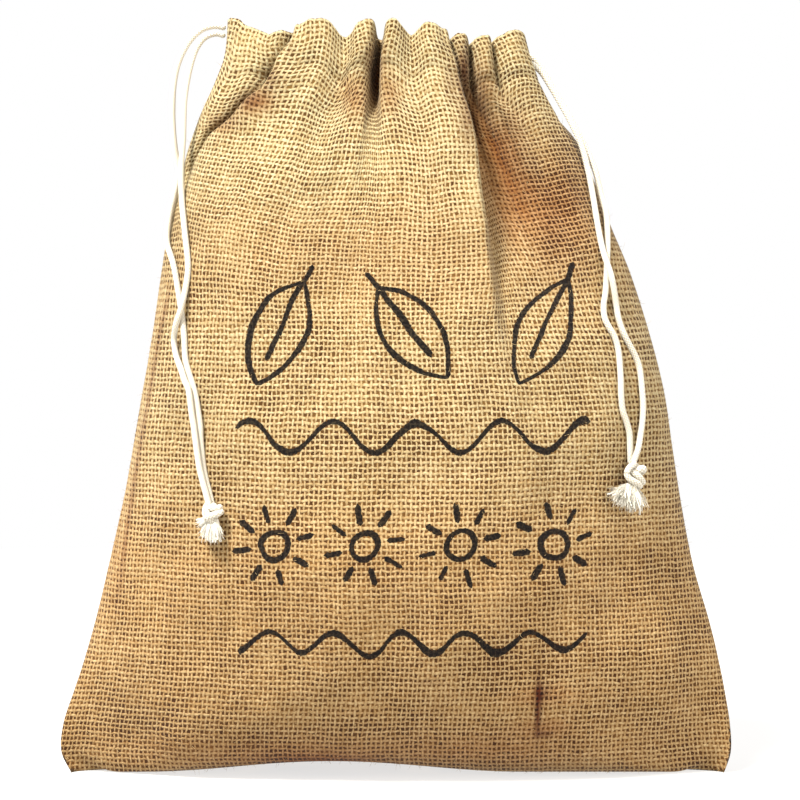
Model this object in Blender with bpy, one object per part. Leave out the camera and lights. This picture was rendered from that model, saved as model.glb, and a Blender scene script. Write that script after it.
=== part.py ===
"""A small hessian sack, filled out and standing on its folded bottom, with its heading gathered
on two cotton drawcords. Each cord shows two free strands that hang down one side of the sack
and end together in an overhand knot with a frayed tuft.

Metres, +Z up. The front of the sack faces -Y. The origin is on the floor, under the middle of
the sack. The tables are in millimetres and are turned to metres where they are read.
"""

import math

import bmesh
import bpy
import numpy as np
from mathutils import Matrix, Vector

MM = 0.001
GAP = 0.0003                     # clearance between a strand and its knot

# ---- the cloth -------------------------------------------------------------------------------
WALL = 0.0016                    # one layer of hessian with its loose fibres, as a solid wall
HEADING_DEPTH = 18.0             # mm from the gathered edge down to the drawcord's stitch line
NECK_HEIGHT = 295.0              # mm, where the folds leave the heading and begin to fan out
BODY_HEIGHT = 205.0              # mm, below which the cloth is shared out evenly
SEGMENTS = 3                     # columns of faces from one fold line to the next
ROUNDNESS = 0.75                 # 0 gives cosine folds, 1 gives folds with upright flanks
SECTION_SAMPLES = 241            # points read along each level's plain outline
SWELLS_BEGIN = 24.0              # mm, the swells start above the rounded bottom edge
SWELLS_FULL = 54.0               # mm, and reach their full size here
MERGE_DISTANCE = 0.00001         # metres, joins the seams' double vertices

# One row per level of the cloth, from the bottom fold to the gathered edge, in mm: height at
# the side seams, left and right seam x, seam y, the middle of the front (y, height), the middle
# of the back (y, height), how far from the seam a row has come down to its middle height, and
# how far the hollow stays back from the side seam.
LEVELS = (
    (0.0, -149.0, 150.5, 6.0, 22.0, 0.0, 22.0, 0.0, 34.0, 13.0),
    (10.0, -153.5, 153.5, 3.0, 10.0, 0.0, 34.0, 0.0, 32.0, 13.0),
    (23.0, -152.5, 153.0, 1.0, -2.0, 0.0, 45.0, 0.0, 36.0, 12.0),
    (38.0, -147.5, 150.5, 0.0, -15.0, 4.5, 54.0, 5.0, 46.0, 11.0),
    (54.0, -142.0, 147.0, 0.0, -28.0, 14.0, 60.5, 17.0, 60.0, 9.0),
    (72.0, -137.0, 142.5, 0.0, -41.0, 30.0, 64.5, 36.0, 80.0, 6.0),
    (94.0, -132.0, 136.5, 1.0, -52.5, 53.0, 66.0, 61.0, 100.0, 0.0),
    (120.0, -126.5, 131.5, 2.0, -61.5, 83.0, 66.0, 91.0, 110.0, 0.0),
    (148.0, -121.0, 127.0, 3.0, -65.5, 116.0, 64.5, 123.0, 110.0, 0.0),
    (176.0, -116.0, 122.5, 4.0, -66.0, 149.0, 61.5, 155.0, 110.0, 0.0),
    (203.0, -111.0, 115.5, 5.0, -62.0, 181.0, 57.5, 186.0, 105.0, 0.0),
    (228.0, -107.0, 107.5, 6.0, -54.5, 211.0, 53.0, 215.0, 100.0, 0.0),
    (250.0, -103.0, 98.5, 6.0, -46.0, 237.0, 48.0, 240.0, 90.0, 0.0),
    (269.0, -98.5, 91.5, 6.5, -38.0, 260.0, 43.0, 262.0, 80.0, 0.0),
    (285.0, -95.0, 85.0, 7.0, -31.0, 279.0, 38.5, 280.0, 70.0, 0.0),
    (299.0, -89.5, 78.0, 7.0, -25.0, 296.0, 34.5, 296.0, 60.0, 0.0),
    (311.0, -83.0, 71.5, 7.0, -20.5, 310.0, 31.0, 310.0, 60.0, 0.0),
    (321.0, -79.0, 66.0, 7.0, -17.5, 321.0, 29.0, 321.0, 60.0, 0.0),
    (330.0, -77.5, 61.8, 7.0, -16.0, 330.0, 28.0, 330.0, 60.0, 0.0),
    (339.0, -77.0, 59.0, 7.0, -15.0, 339.0, 27.5, 339.0, 60.0, 0.0),
)
MEAN_EDGE_HEIGHT = 339.0
FIRST_RISING_LEVEL = 12          # from here up, the rows begin to follow the uneven edge
FIRST_HEADING_LEVEL = 17

# One row per fold line of the gathered front, from the left seam to the right one, in mm:
# x and height at the edge, how far it stands out there (negative for a hollow), x and how far
# it stands out at the neck, the height where it has died away, and its place in the full body
# as a share of the cloth's width, in percent.
FRONT_FOLDS = (
    (-77.0, 343.5, 0.0, -92.0, 0.0, 260.0, 0.0),
    (-69.5, 341.0, 2.0, -90.0, 0.5, 250.0, 4.0),
    (-51.5, 335.0, -9.5, -86.0, -8.5, 255.0, 11.5),
    (-46.0, 339.0, 4.0, -79.0, 3.0, 240.0, 15.5),
    (-38.5, 341.0, 6.0, -62.0, 6.5, 205.0, 21.5),
    (-25.0, 334.0, -2.5, -36.0, 2.0, 225.0, 29.5),
    (-12.8, 341.0, 5.5, -20.5, 0.0, 245.0, 36.0),
    (-6.4, 332.5, -9.5, -8.5, -7.0, 240.0, 41.5),
    (-0.6, 341.0, 5.5, 2.5, 1.5, 240.0, 47.0),
    (6.8, 335.0, -1.0, 12.0, 2.5, 225.0, 52.5),
    (15.0, 339.0, 6.5, 24.5, 7.5, 185.0, 59.5),
    (23.5, 332.0, -10.0, 33.0, -9.0, 180.0, 65.5),
    (29.3, 335.5, -0.5, 43.5, -3.0, 215.0, 71.5),
    (34.4, 331.0, -5.0, 50.0, -3.0, 235.0, 77.0),
    (39.5, 335.0, 1.5, 56.0, -1.0, 240.0, 82.0),
    (44.3, 332.5, -2.0, 62.0, -1.0, 245.0, 87.5),
    (51.3, 337.5, 4.0, 70.0, 1.5, 250.0, 93.5),
    (59.0, 329.0, 0.0, 78.0, 0.0, 260.0, 100.0),
)
# The same for the back, again from the left seam to the right one.
BACK_FOLDS = (
    (-77.0, 343.5, 0.0, -92.0, 0.0, 260.0, 0.0),
    (-70.0, 338.0, 3.5, -83.0, 2.0, 240.0, 5.0),
    (-62.5, 334.5, -4.0, -75.0, -3.5, 215.0, 10.0),
    (-55.0, 338.5, 3.0, -67.5, 2.0, 230.0, 15.0),
    (-48.0, 339.5, 5.0, -59.5, 4.5, 195.0, 20.0),
    (-39.5, 335.0, -4.0, -48.5, -2.5, 220.0, 25.5),
    (-30.5, 339.5, 4.5, -37.0, 3.0, 225.0, 32.0),
    (-20.5, 334.0, -6.0, -25.0, -5.0, 190.0, 38.5),
    (-11.0, 340.0, 5.5, -13.0, 5.0, 180.0, 45.5),
    (-2.5, 336.0, -3.5, -2.0, -2.0, 225.0, 51.5),
    (5.0, 339.0, 4.0, 8.5, 2.5, 235.0, 57.0),
    (13.0, 334.0, -5.0, 18.5, -3.5, 215.0, 63.0),
    (21.5, 339.5, 5.0, 28.5, 4.5, 200.0, 69.5),
    (29.5, 335.0, -6.0, 38.5, -5.0, 190.0, 76.0),
    (37.0, 338.5, 4.5, 48.0, 3.5, 205.0, 82.5),
    (44.0, 334.5, -3.5, 57.0, -2.0, 230.0, 88.5),
    (51.0, 336.5, 3.5, 66.5, 1.5, 245.0, 94.5),
    (59.0, 329.0, 0.0, 78.0, 0.0, 260.0, 100.0),
)

# The front of the bottom edge arches off the floor left of the middle: its ends and height in
# mm, and the share of that height on the fold and on each level of the front above it.
ARCH_LEFT = -112.0
ARCH_RIGHT = 34.0
ARCH_HEIGHT = 6.0
ARCH_SHARES = (0.45, 0.8, 1.0, 0.85, 0.5, 0.2)

# Broad hollows and swells where the cloth gives over its filling, in mm: x, height, reach
# sideways and up, and how far the cloth stands out there (negative for a hollow).
FRONT_SWELLS = (
    (-14.0, 285.0, 16.0, 26.0, -4.0),
    (62.0, 262.0, 16.0, 34.0, -6.0),
    (-70.0, 236.0, 30.0, 40.0, 3.0),
    (-104.0, 40.0, 26.0, 26.0, 4.0),
    (112.0, 44.0, 26.0, 30.0, 4.0),
    (96.0, 118.0, 30.0, 36.0, -2.5),
    (-96.0, 132.0, 26.0, 44.0, -2.5),
    (10.0, 96.0, 60.0, 34.0, 2.0),
)
BACK_SWELLS = (
    (-40.0, 240.0, 26.0, 40.0, -4.0),
    (46.0, 226.0, 30.0, 44.0, 4.0),
    (-92.0, 96.0, 34.0, 40.0, -3.0),
    (60.0, 110.0, 40.0, 46.0, -3.0),
    (-10.0, 150.0, 50.0, 50.0, 2.0),
)

# ---- the drawcords ---------------------------------------------------------------------------
CORD_DIAMETER = 0.0028
CORD_STEP = 2.0                  # diameters from one point of a tube to the next
CORD_BEVEL_RESOLUTION = 2        # eight sides
ROUTE_SAMPLES = 16               # points read between two route points

# The free strands, from the side opening of the heading to the knot: x, y, height in mm.
LEFT_OUTER_ROUTE = (
    (-77.7, 6.9, 341.0), (-82.8, 6.6, 341.9), (-88.6, 5.8, 340.2), (-93.6, 4.8, 335.6),
    (-97.2, 3.6, 329.6), (-99.8, 2.5, 322.8), (-101.3, 1.5, 314.0), (-101.7, 0.5, 306.0),
    (-101.6, -0.4, 297.0), (-100.7, -1.6, 287.0), (-98.8, -2.0, 276.0), (-99.3, -2.4, 271.0),
    (-101.2, -3.4, 262.6), (-102.6, -5.4, 256.0), (-103.6, -9.8, 243.5), (-99.6, -20.2, 231.5),
    (-96.1, -28.9, 214.0), (-94.3, -33.5, 201.5), (-93.3, -36.2, 189.5), (-89.2, -41.1, 176.5),
    (-87.4, -43.0, 167.0), (-86.6, -43.8, 161.0), (-86.3, -44.1, 155.0), (-85.2, -45.1, 144.0),
    (-83.9, -46.0, 137.3), (-82.7, -46.8, 133.0), (-81.6, -47.5, 128.8),
)
LEFT_INNER_ROUTE = (
    (-77.9, 6.9, 337.4), (-82.4, 6.4, 338.4), (-87.4, 5.0, 336.4), (-91.0, 3.4, 331.4),
    (-93.2, 1.4, 324.8), (-94.8, -1.2, 317.0), (-96.1, -4.3, 306.0), (-96.4, -7.0, 290.0),
    (-97.1, -10.2, 276.0), (-96.6, -13.8, 263.0), (-94.8, -20.7, 248.0), (-92.9, -27.2, 233.5),
    (-93.2, -29.8, 226.0), (-94.4, -32.6, 218.5), (-95.9, -34.2, 212.0), (-97.9, -33.4, 206.0),
    (-99.0, -30.6, 199.0), (-97.8, -32.8, 192.0), (-95.2, -39.0, 186.0), (-93.4, -41.8, 181.0),
    (-91.6, -43.6, 177.0), (-90.2, -44.9, 167.0), (-89.2, -45.8, 161.0), (-88.4, -46.7, 155.0),
    (-86.8, -48.0, 144.0), (-85.2, -49.0, 137.3), (-84.0, -49.8, 133.0), (-82.8, -50.6, 128.8),
)
RIGHT_FRONT_ROUTE = (
    (61.7, 6.4, 325.0), (66.3, 5.6, 320.8), (70.0, 4.0, 315.0), (74.3, 2.2, 307.5),
    (79.4, -0.6, 298.0), (84.2, -3.6, 287.0), (87.0, -6.4, 275.8), (88.9, -10.1, 264.7),
    (90.2, -14.3, 255.0), (91.5, -18.6, 246.0), (92.8, -22.4, 239.0), (94.2, -26.4, 233.7),
    (96.0, -29.1, 228.0), (97.4, -29.0, 221.0), (98.4, -28.4, 214.4), (99.3, -29.5, 208.7),
    (101.6, -30.2, 202.0), (104.8, -28.9, 195.9), (107.4, -27.6, 191.0), (109.0, -27.5, 186.0),
    (109.9, -29.4, 177.0), (110.3, -30.2, 170.0), (110.0, -31.4, 163.8), (108.9, -33.6, 157.0),
    (107.6, -38.3, 151.2), (106.0, -40.2, 147.0),
)
RIGHT_BACK_ROUTE = (
    (60.6, 9.4, 329.4), (65.8, 9.6, 324.4), (70.4, 8.0, 316.4), (75.2, 5.8, 308.0),
    (80.6, 2.6, 297.5), (86.2, -0.6, 286.0), (90.4, -2.8, 275.8), (93.0, -4.6, 264.7),
    (95.0, -7.6, 257.0), (95.4, -10.6, 251.0), (95.3, -15.3, 243.7), (94.9, -20.0, 237.0),
    (94.5, -23.4, 232.0), (94.0, -26.9, 225.7), (93.4, -29.8, 220.0), (92.4, -32.9, 214.4),
    (92.8, -34.6, 209.0), (94.6, -35.0, 205.0), (97.2, -34.6, 200.6), (98.8, -34.6, 195.0),
    (99.5, -35.8, 188.0), (99.8, -37.4, 181.0), (99.9, -39.1, 174.0), (100.6, -39.1, 168.0),
    (102.1, -38.2, 163.7), (103.7, -37.1, 158.0), (104.0, -37.0, 152.6), (104.2, -37.3, 147.0),
)

# Each knot: middle (x, y, height), the way it faces in plan, and the size of its core, in mm.
# Its turns of cord: place across, outwards and up from the middle, radius of the turn, tilt and
# swing in degrees. Its tufts of frayed locks: number of locks, lean of the first and the last one
# in degrees, length of the outer ones and of the middle one, half the width of the row of roots,
# and how far the roots lie across and up from the middle.
KNOT_SEGMENTS = 12
BALL_RINGS = 8
CORD_SIDES = 8
KNOT_FLATNESS = 0.82             # a knot lies on the cloth, flatter than it is wide
STUB_LENGTH = 0.0035             # how far a strand runs on inside its knot
LOCK_SIDES = 4
LOCK_ROOT_RADIUS = 1.5
LOCK_TIP_RADIUS = 1.0
LOCK_LIFTS = (0.0, 11.0, 4.0)    # degrees by which neighbouring locks stand off the cloth
LOCK_LENGTHS = (1.0, 0.9, 1.06, 0.86, 0.97)   # ragged ends, as shares of the length
LEFT_KNOT = {
    "middle": (-80.4, -50.3, 123.6),
    "faces": (-0.5, -0.87),
    "core": (3.5, 3.3, 4.6),
    "turns": (
        (0.4, 0.0, 1.9, 2.8, 6.0, 0.0),
        (0.6, 0.1, -1.2, 3.0, -12.0, 0.0),
    ),
    "tufts": (
        (9, 24.0, -22.0, 9.5, 12.5, 2.2, -0.4, -2.4),
        (2, 66.0, 50.0, 6.5, 6.5, 0.5, -1.6, -2.8),
    ),
}
RIGHT_KNOT = {
    "middle": (105.3, -40.4, 139.6),
    "faces": (0.59, -0.81),
    "core": (3.9, 3.5, 5.4),
    "turns": (
        (-2.8, 0.9, 0.9, 3.4, 62.0, 24.0),
        (3.9, 0.4, 2.2, 2.0, 40.0, 0.0),
        (1.4, 0.3, -2.2, 3.2, -24.0, 0.0),
    ),
    "tufts": (
        (13, 60.0, -26.0, 11.5, 12.0, 2.0, -1.2, -3.0),
    ),
}

HESSIAN = ("hessian", (0.50, 0.33, 0.16), 0.95)
COTTON = ("cotton_cord", (0.86, 0.83, 0.74), 0.9)


def smooth(t):
    """Nought below 0, one above 1, and an even ease between them."""
    t = np.clip(t, 0.0, 1.0)
    return t * t * (3.0 - 2.0 * t)


def fold_lines(folds, height):
    """Share of the outline and stand-out of every fold line at one height, and the height by
    which each one's edge differs from the mean edge."""
    edge_x, edge_z, edge_out, neck_x, neck_out, toe, body_share = np.array(folds).T
    at_edge = (edge_x - edge_x[0]) / (edge_x[-1] - edge_x[0])
    at_neck = (neck_x - neck_x[0]) / (neck_x[-1] - neck_x[0])
    up = smooth((height - NECK_HEIGHT) / (MEAN_EDGE_HEIGHT - HEADING_DEPTH - NECK_HEIGHT))
    down = smooth((height - BODY_HEIGHT) / (NECK_HEIGHT - BODY_HEIGHT))
    place = at_edge * up + at_neck * (1.0 - up)
    place = place * down + body_share / 100.0 * (1.0 - down)
    fade = smooth((height - toe) / (NECK_HEIGHT - toe))
    out = edge_out * up + neck_out * (1.0 - up) * fade
    return place, out, edge_z - MEAN_EDGE_HEIGHT


def between(values, weights, segments=SEGMENTS):
    """Values at the fold lines carried to every column, eased by the weights (0 to 1)."""
    start = np.repeat(values[:-1], segments)
    end = np.repeat(values[1:], segments)
    inner = start + (end - start) * weights
    return np.append(inner, values[-1])


def swell(swells, x, height):
    """How far the cloth stands out at each point: the sum of the table's soft bumps."""
    total = np.zeros_like(x)
    for place_x, place_z, reach_x, reach_z, out in swells:
        far = ((x - place_x) / reach_x) ** 2 + ((height - place_z) / reach_z) ** 2
        total += out * np.exp(-far)
    return total


def plain_outline(level, front):
    """One half of a level's outline without folds: half an ellipse in plan from the left seam
    to the right one, whose middle lies lower than its ends near the bottom."""
    seam_z, left, right, seam_y, front_y, front_z, back_y, back_z, turn, _ = level
    middle_y, middle_z = (front_y, front_z) if front else (back_y, back_z)
    angle = np.linspace(-math.pi / 2.0, math.pi / 2.0, SECTION_SAMPLES)
    half_width = (right - left) / 2.0
    x = (left + right) / 2.0 + half_width * np.sin(angle)
    y = seam_y + (middle_y - seam_y) * np.cos(angle)
    from_seam = half_width * (1.0 - np.abs(np.sin(angle)))
    z = seam_z + (middle_z - seam_z) * smooth(from_seam / turn)
    return x, y, z


def half_of_sack(front, for_hollow=False):
    """Front or back cloth as an array of levels by columns of points, in mm. For the hollow,
    the low levels stop short of the side seams, where the two cloths close on each other."""
    folds = FRONT_FOLDS if front else BACK_FOLDS
    swells = FRONT_SWELLS if front else BACK_SWELLS
    turn = np.tile(np.arange(SEGMENTS) * math.pi / SEGMENTS, len(folds) - 1)
    rows = []
    for index, level in enumerate(LEVELS):
        height = level[0]
        x, y, z = plain_outline(level, front)
        steps = np.hypot(np.hypot(np.diff(x), np.diff(y)), np.diff(z))
        length = np.concatenate(([0.0], np.cumsum(steps)))
        place, out, rise = fold_lines(folds, height)
        if index == 0:
            place = np.linspace(0.0, 1.0, len(folds))
        lift = smooth((height - LEVELS[FIRST_RISING_LEVEL][0])
                      / (LEVELS[FIRST_HEADING_LEVEL][0] - LEVELS[FIRST_RISING_LEVEL][0]))
        roundness = ROUNDNESS * lift
        along = (turn + roundness * np.sin(2.0 * turn) / 2.0) / math.pi
        eased = (1.0 - np.cos(turn)) / 2.0
        where = between(place, along) * length[-1]
        if for_hollow:
            where = level[-1] + where * (length[-1] - 2.0 * level[-1]) / length[-1]
        stand = between(out, eased)
        column_x = np.interp(where, length, x)
        column_y = np.interp(where, length, y)
        column_z = np.interp(where, length, z) + between(rise, eased) * lift
        tangent_x = np.interp(where, length, np.gradient(x, length))
        tangent_y = np.interp(where, length, np.gradient(y, length))
        size = np.hypot(tangent_x, tangent_y)
        sign = 1.0 if front else -1.0
        normal_x = sign * tangent_y / size
        normal_y = -sign * tangent_x / size
        grown = smooth((height - SWELLS_BEGIN) / (SWELLS_FULL - SWELLS_BEGIN))
        stand = stand + swell(swells, column_x, column_z) * grown
        column_x = column_x + normal_x * stand
        column_y = column_y + normal_y * stand
        if (front or index == 0) and index < len(ARCH_SHARES):
            across = np.clip((column_x - ARCH_LEFT) / (ARCH_RIGHT - ARCH_LEFT), 0.0, 1.0)
            arch = ARCH_HEIGHT * np.sin(math.pi * across) ** 2
            column_z = column_z + arch * ARCH_SHARES[index]
        rows.append(np.stack((column_x, column_y, column_z), axis=1))
    return np.array(rows)


def inward(points, front):
    """Unit directions from each point of a half to the hollow inside."""
    along = np.gradient(points, axis=1)
    up = np.gradient(points, axis=0)
    direction = np.cross(up, along) if front else np.cross(along, up)
    return direction / np.linalg.norm(direction, axis=2, keepdims=True)


def add_grid(mesh, points):
    """Quads over an array of points; returns the vertices as an array of the same shape."""
    rows, columns = points.shape[:2]
    verts = [[mesh.verts.new(points[r, c] * MM) for c in range(columns)] for r in range(rows)]
    for r in range(rows - 1):
        for c in range(columns - 1):
            mesh.faces.new((verts[r][c], verts[r][c + 1], verts[r + 1][c + 1], verts[r + 1][c]))
    return verts


def material(kind):
    """Principled material with a colour and a roughness."""
    name, colour, roughness = kind
    found = bpy.data.materials.get(name)
    if found:
        return found
    made = bpy.data.materials.new(name)
    made.use_nodes = True
    shader = made.node_tree.nodes["Principled BSDF"]
    shader.inputs["Base Color"].default_value = (*colour, 1.0)
    shader.inputs["Roughness"].default_value = roughness
    shader.inputs["Metallic"].default_value = 0.0
    return made


def add_object(name, data, kind, collection):
    """Object of a mesh or a curve, in the part's collection and with its material."""
    made = bpy.data.objects.new(name, data)
    collection.objects.link(made)
    data.materials.append(material(kind))
    return made


def join_halves(halves):
    """Brings the front and the back together along the side seams and the bottom fold."""
    front, back = halves[True], halves[False]
    for line in (np.s_[:, 0], np.s_[:, -1], np.s_[0]):
        meeting = (front[line] + back[line]) / 2.0
        front[line] = meeting
        back[line] = meeting


def make_sack(collection):
    """The cloth: two outer halves and the hollow inside them, closed along the edge."""
    outer = {front: half_of_sack(front) for front in (True, False)}
    inner = {}
    for front in (True, False):
        cloth = half_of_sack(front, for_hollow=True)
        inner[front] = cloth + inward(cloth, front) * (WALL / MM)
    join_halves(outer)
    join_halves(inner)
    mesh = bmesh.new()
    for front in (True, False):
        outer_verts = add_grid(mesh, outer[front])
        inner_verts = add_grid(mesh, inner[front])
        edge_out = outer_verts[-1]
        edge_in = inner_verts[-1]
        for c in range(len(edge_out) - 1):
            mesh.faces.new((edge_out[c], edge_out[c + 1], edge_in[c + 1], edge_in[c]))
    bmesh.ops.remove_doubles(mesh, verts=mesh.verts, dist=MERGE_DISTANCE)
    bmesh.ops.recalc_face_normals(mesh, faces=mesh.faces)
    data = bpy.data.meshes.new("sack")
    mesh.to_mesh(data)
    mesh.free()
    data.shade_smooth()
    return add_object("sack", data, HESSIAN, collection)


def smooth_route(points):
    """Evenly spaced points in metres on a smooth curve through the route's points."""
    ends = [2.0 * points[0] - points[1]], [2.0 * points[-1] - points[-2]]
    padded = np.concatenate((ends[0], points, ends[1]))
    t = np.linspace(0.0, 1.0, ROUTE_SAMPLES, endpoint=False)[:, None]
    pieces = []
    for i in range(1, len(padded) - 2):
        before, start, end, after = padded[i - 1:i + 3]
        pieces.append(0.5 * (2.0 * start + (end - before) * t
                             + (2.0 * before - 5.0 * start + 4.0 * end - after) * t ** 2
                             + (3.0 * start - before - 3.0 * end + after) * t ** 3))
    fine = np.concatenate(pieces + [points[-1:]]) * MM
    length = np.concatenate(([0.0], np.cumsum(np.linalg.norm(np.diff(fine, axis=0), axis=1))))
    count = round(length[-1] / (CORD_STEP * CORD_DIAMETER)) + 1
    even = np.linspace(0.0, length[-1], count)
    return np.stack([np.interp(even, length, fine[:, axis]) for axis in range(3)], axis=1)


def make_strand(name, route, collection):
    """One free strand of a drawcord as a round tube with closed ends."""
    curve = bpy.data.curves.new(name, "CURVE")
    curve.dimensions = "3D"
    curve.bevel_depth = CORD_DIAMETER / 2.0
    curve.bevel_resolution = CORD_BEVEL_RESOLUTION
    curve.use_fill_caps = True
    points = smooth_route(np.array(route))
    spline = curve.splines.new("POLY")
    spline.points.add(len(points) - 1)
    spline.points.foreach_set("co", np.insert(points, 3, 1.0, axis=1).ravel())
    return add_object(name, curve, COTTON, collection)


def add_ball(mesh, radii, matrix):
    """Egg-shaped lump with the given radii."""
    scale = Matrix.Diagonal((*radii, 1.0))
    bmesh.ops.create_uvsphere(mesh, u_segments=KNOT_SEGMENTS, v_segments=BALL_RINGS,
                              radius=1.0, matrix=matrix @ scale)


def turn_of_cord(name, radius, matrix, collection):
    """Closed ring of cord, one turn of a knot."""
    bpy.ops.mesh.primitive_torus_add(major_segments=KNOT_SEGMENTS, minor_segments=CORD_SIDES,
                                     major_radius=radius * MM, minor_radius=CORD_DIAMETER / 2.0)
    ring = bpy.context.object
    ring.name = name
    ring.data.transform(matrix)
    for holder in list(ring.users_collection):
        holder.objects.unlink(ring)
    collection.objects.link(ring)


def add_cone(name, radii, length, matrix, sides, collection):
    """Cone or rod that hangs down from the matrix's origin."""
    mesh = bmesh.new()
    hang = Matrix.Rotation(math.pi, 4, "X") @ Matrix.Translation((0.0, 0.0, length / 2.0))
    bmesh.ops.create_cone(mesh, cap_ends=True, segments=sides, radius1=radii[0],
                          radius2=radii[1], depth=length, matrix=matrix @ hang)
    data = bpy.data.meshes.new(name)
    mesh.to_mesh(data)
    mesh.free()
    collection.objects.link(bpy.data.objects.new(name, data))


def add_stub(name, route, collection):
    """The end of a strand inside its knot, in line with the strand and a gap away from it."""
    last_but_one, last = smooth_route(np.array(route))[-2:]
    direction = Vector(last - last_but_one).normalized()
    start = Vector(last) + direction * GAP
    turned = direction.to_track_quat("-Z", "Y").to_matrix().to_4x4()
    radius = CORD_DIAMETER / 2.0
    add_cone(name, (radius, radius), STUB_LENGTH, Matrix.Translation(start) @ turned, CORD_SIDES,
             collection)


def add_tuft(name, tuft, frame, collection):
    """Fan of frayed locks with ragged ends."""
    count, first_lean, last_lean, side_length, middle_length, half_width, across, up = tuft
    for index in range(count):
        share = index / (count - 1)
        lean = first_lean + (last_lean - first_lean) * share
        length = side_length + (middle_length - side_length) * math.sin(math.pi * share)
        length *= LOCK_LENGTHS[index % len(LOCK_LENGTHS)]
        lift = LOCK_LIFTS[index % len(LOCK_LIFTS)]
        root = Vector((across + half_width * (2.0 * share - 1.0), 0.0, up))
        turned = (Matrix.Translation(root * MM)
                  @ Matrix.Rotation(math.radians(lean), 4, "Y")
                  @ Matrix.Rotation(math.radians(lift), 4, "X"))
        add_cone(f"{name}_{index + 1}", (LOCK_ROOT_RADIUS * MM, LOCK_TIP_RADIUS * MM),
                 length * MM, frame @ turned, LOCK_SIDES, collection)


def make_knot(name, knot, routes, collection, guides):
    """Overhand knot of both strands: a core, the ends of the strands and the turns of cord on
    it, and a frayed tuft whose locks grow out of it, all joined into one body."""
    outwards = Vector((*knot["faces"], 0.0)).normalized()
    across = Vector((-outwards.y, outwards.x, 0.0))
    frame = Matrix.Translation(Vector(knot["middle"]) * MM)
    frame = frame @ Matrix((across, outwards, (0.0, 0.0, 1.0))).transposed().to_4x4()
    frame = frame @ Matrix.Diagonal((1.0, KNOT_FLATNESS, 1.0, 1.0))
    added = bpy.data.collections.new(name + "_pieces")
    guides.children.link(added)
    for index, (x, y, z, radius, tilt, swing) in enumerate(knot["turns"]):
        turned = (Matrix.Translation(Vector((x, y, z)) * MM)
                  @ Matrix.Rotation(math.radians(swing), 4, "Z")
                  @ Matrix.Rotation(math.radians(tilt), 4, "Y"))
        turn_of_cord(f"{name}_turn_{index + 1}", radius, frame @ turned, added)
    for index, tuft in enumerate(knot["tufts"]):
        add_tuft(f"{name}_lock_{index + 1}", tuft, frame, added)
    for index, route in enumerate(routes):
        add_stub(f"{name}_stub_{index + 1}", route, added)
    for guide in added.objects:
        guide.hide_render = True
        guide.display_type = "WIRE"
    mesh = bmesh.new()
    add_ball(mesh, [radius * MM for radius in knot["core"]], frame)
    data = bpy.data.meshes.new(name)
    mesh.to_mesh(data)
    mesh.free()
    made = add_object(name, data, COTTON, collection)
    union = made.modifiers.new("turns, tufts and stubs", "BOOLEAN")
    union.operation = "UNION"
    union.solver = "EXACT"
    union.operand_type = "COLLECTION"
    union.collection = added
    return made


def main():
    for old in list(bpy.data.objects):
        bpy.data.objects.remove(old, do_unlink=True)
    collection = bpy.data.collections.new("hessian_sack")
    guides = bpy.data.collections.new("guides")
    bpy.context.scene.collection.children.link(collection)
    bpy.context.scene.collection.children.link(guides)
    make_sack(collection)
    make_strand("strand_left_outer", LEFT_OUTER_ROUTE, collection)
    make_strand("strand_left_inner", LEFT_INNER_ROUTE, collection)
    make_strand("strand_right_front", RIGHT_FRONT_ROUTE, collection)
    make_strand("strand_right_back", RIGHT_BACK_ROUTE, collection)
    left_routes = (LEFT_OUTER_ROUTE, LEFT_INNER_ROUTE)
    right_routes = (RIGHT_FRONT_ROUTE, RIGHT_BACK_ROUTE)
    make_knot("knot_left", LEFT_KNOT, left_routes, collection, guides)
    make_knot("knot_right", RIGHT_KNOT, right_routes, collection, guides)


main()
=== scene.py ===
# %% [markdown]
# # A small hessian sack
#
# This lesson dresses a plain model of a hessian sack. The sack stands filled out, its mouth is
# gathered on two cotton drawcords, and a black brush drawing decorates the front. The plain model
# is loaded first and never moved. Every piece that is made here lies in the same frame: metres,
# +Z up, the front towards -Y. Shapes are worked out in millimetres and turned to metres last.

# %% The frame and colours
import math
from types import SimpleNamespace

import bpy
import numpy as np
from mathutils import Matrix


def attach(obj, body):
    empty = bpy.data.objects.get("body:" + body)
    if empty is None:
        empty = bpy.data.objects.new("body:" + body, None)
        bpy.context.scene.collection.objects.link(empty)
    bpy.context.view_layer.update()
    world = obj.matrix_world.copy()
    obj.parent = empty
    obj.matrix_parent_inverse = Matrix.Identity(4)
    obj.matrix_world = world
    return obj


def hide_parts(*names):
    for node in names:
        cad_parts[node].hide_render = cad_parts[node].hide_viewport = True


MM = 0.001
TURN = 2.0 * math.pi             # a full turn, in radians
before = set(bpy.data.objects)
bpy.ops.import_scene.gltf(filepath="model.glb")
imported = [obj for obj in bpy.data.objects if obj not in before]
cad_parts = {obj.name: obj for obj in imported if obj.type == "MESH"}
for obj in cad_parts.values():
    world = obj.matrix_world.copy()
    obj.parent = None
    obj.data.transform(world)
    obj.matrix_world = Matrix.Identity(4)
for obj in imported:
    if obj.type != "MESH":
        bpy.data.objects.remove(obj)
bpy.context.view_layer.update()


def colour(code):
    """An sRGB hex code as linear red, green, blue, alpha: c / 12.92 in the darks, and
    ((c + 0.055) / 1.055) to the power 2.4 above them."""
    c = np.array([int(code[i:i + 2], 16) for i in (1, 3, 5)]) / 255.0
    linear = np.where(c <= 0.04045, c / 12.92, ((c + 0.055) / 1.055) ** 2.4)
    return (*linear.tolist(), 1.0)


print("nodes:", sorted(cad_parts))

# %% [markdown]
# ## Camera, light and floor
#
# The sack is seen from straight in front and a little above its middle, through a long lens that
# hardly widens its base. The light is a studio's: a soft one from high on the left, a weak one
# from the right, and a white surround that fills the folds. The floor is the milky top of a
# photographer's light table, which glows a little, so that shadows on it stay faint.

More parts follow.
